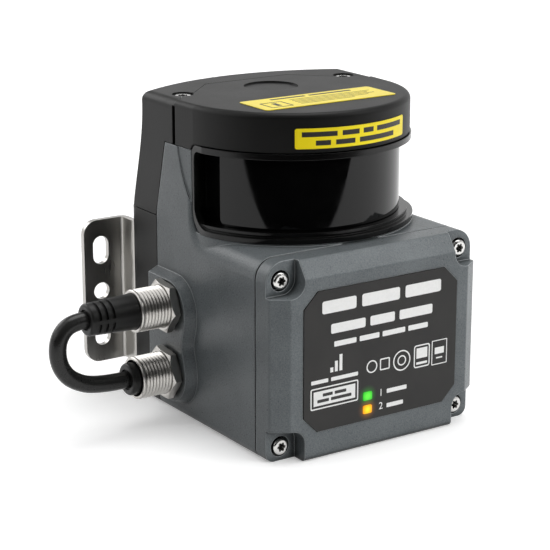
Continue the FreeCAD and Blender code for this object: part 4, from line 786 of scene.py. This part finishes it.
def addFloor(look):
    half = look["floorHalf"]
    floor = addFlat("studio_floor", [(-half, -half, 0), (half, -half, 0), (half, half, 0), (-half, half, 0)])
    material, shader, place = newFinish("floorPaper")
    plain(shader, Roughness=0.9, Specular_IOR_Level=0.0, Emission_Color=(1.0, 1.0, 1.0))
    direct = seen(shader.id_data)
    join(mixColour(direct, look["floorBounce"], look["floorColour"]), shader.inputs["Base Color"])
    # the shadow stays near the part, and further off the floor turns as white as the sky
    away = shader.id_data.nodes.new("ShaderNodeVectorMath")
    away.operation = "LENGTH"
    join(place, away.inputs[0])
    lift = spread(away.outputs["Value"], *look["floorLift"], *look["liftReach"])
    join(combine("MULTIPLY", direct, lift), shader.inputs["Emission Strength"])
    floor.data.materials.append(material)


def addDarkRoom(look):
    turn = math.radians(look["edgeAzimuth"])
    ahead = Vector((math.sin(turn), -math.cos(turn), 0))
    side = Vector((math.cos(turn), math.sin(turn), 0))
    reach = side * look["floorHalf"]
    rise = Vector((0, 0, look["darkRise"]))
    near = ahead * look["edgeDistance"] + rise
    far = ahead * look["wallDistance"] + rise
    top = far + Vector((0, 0, look["wallHeight"]))
    material, shader = newFinish("darkRoom")[:2]
    plain(shader, Base_Color=(0.0, 0.0, 0.0), Roughness=1.0, Specular_IOR_Level=0.0)
    for name, first, last in (("dark_floor", near, far), ("dark_wall", far, top)):
        dark = addFlat(name, [first - reach, first + reach, last + reach, last - reach])
        dark.data.materials.append(material)
        dark.visible_camera = False
        dark.visible_diffuse = False
        dark.visible_shadow = False
        dark.visible_transmission = False


def addSky(look):
    world = bpy.data.worlds.new("studioSky")
    bpy.context.scene.world = world
    world.use_nodes = True
    tree = world.node_tree
    lit = tree.nodes["Background"]
    lit.inputs["Color"].default_value = (1, 1, 1, 1)
    lit.inputs["Strength"].default_value = look["skyLight"]
    # white towards the horizon, dim overhead, as in a room with a pale backdrop
    height = tree.nodes.new("ShaderNodeSeparateXYZ")
    join(tree.nodes.new("ShaderNodeTexCoord").outputs["Generated"], height.inputs[0])
    white = tree.nodes.new("ShaderNodeBackground")
    white.inputs["Color"].default_value = (1, 1, 1, 1)
    fade = spread(height.outputs["Z"], 1.0, look["skyTop"], look["skyWhite"], look["skyDark"])
    join(fade, white.inputs["Strength"])
    mix = tree.nodes.new("ShaderNodeMixShader")
    join(seen(tree), mix.inputs[0])
    join(lit.outputs[0], mix.inputs[1])
    join(white.outputs[0], mix.inputs[2])
    join(mix.outputs[0], tree.nodes["World Output"].inputs["Surface"])


def addSun(look):
    data = bpy.data.lights.new("softSun", "SUN")
    data.energy = look["sunStrength"]
    data.angle = math.radians(look["sunSpread"])
    sun = bpy.data.objects.new("softSun", data)
    sun.rotation_euler = [math.radians(a) for a in look["sunTilt"]] + [0]
    bpy.context.scene.collection.objects.link(sun)


def addSoftBoxes(boxes):
    for name, (place, width, power, aim, shown) in boxes.items():
        data = bpy.data.lights.new(name, "AREA")
        data.size = width
        data.energy = power
        box = bpy.data.objects.new(name, data)
        box.location = place
        box.visible_glossy = shown != "colour"
        box.visible_diffuse = shown != "gloss"
        box.rotation_euler = (Vector(aim) - Vector(place)).to_track_quat("-Z", "Y").to_euler()
        bpy.context.scene.collection.objects.link(box)


addFloor(stageLook)
addDarkRoom(stageLook)
addSky(stageLook)
addSun(stageLook)
addSoftBoxes(softBoxes)
bpy.context.scene.view_settings.view_transform = "Standard"
print("stage lit")
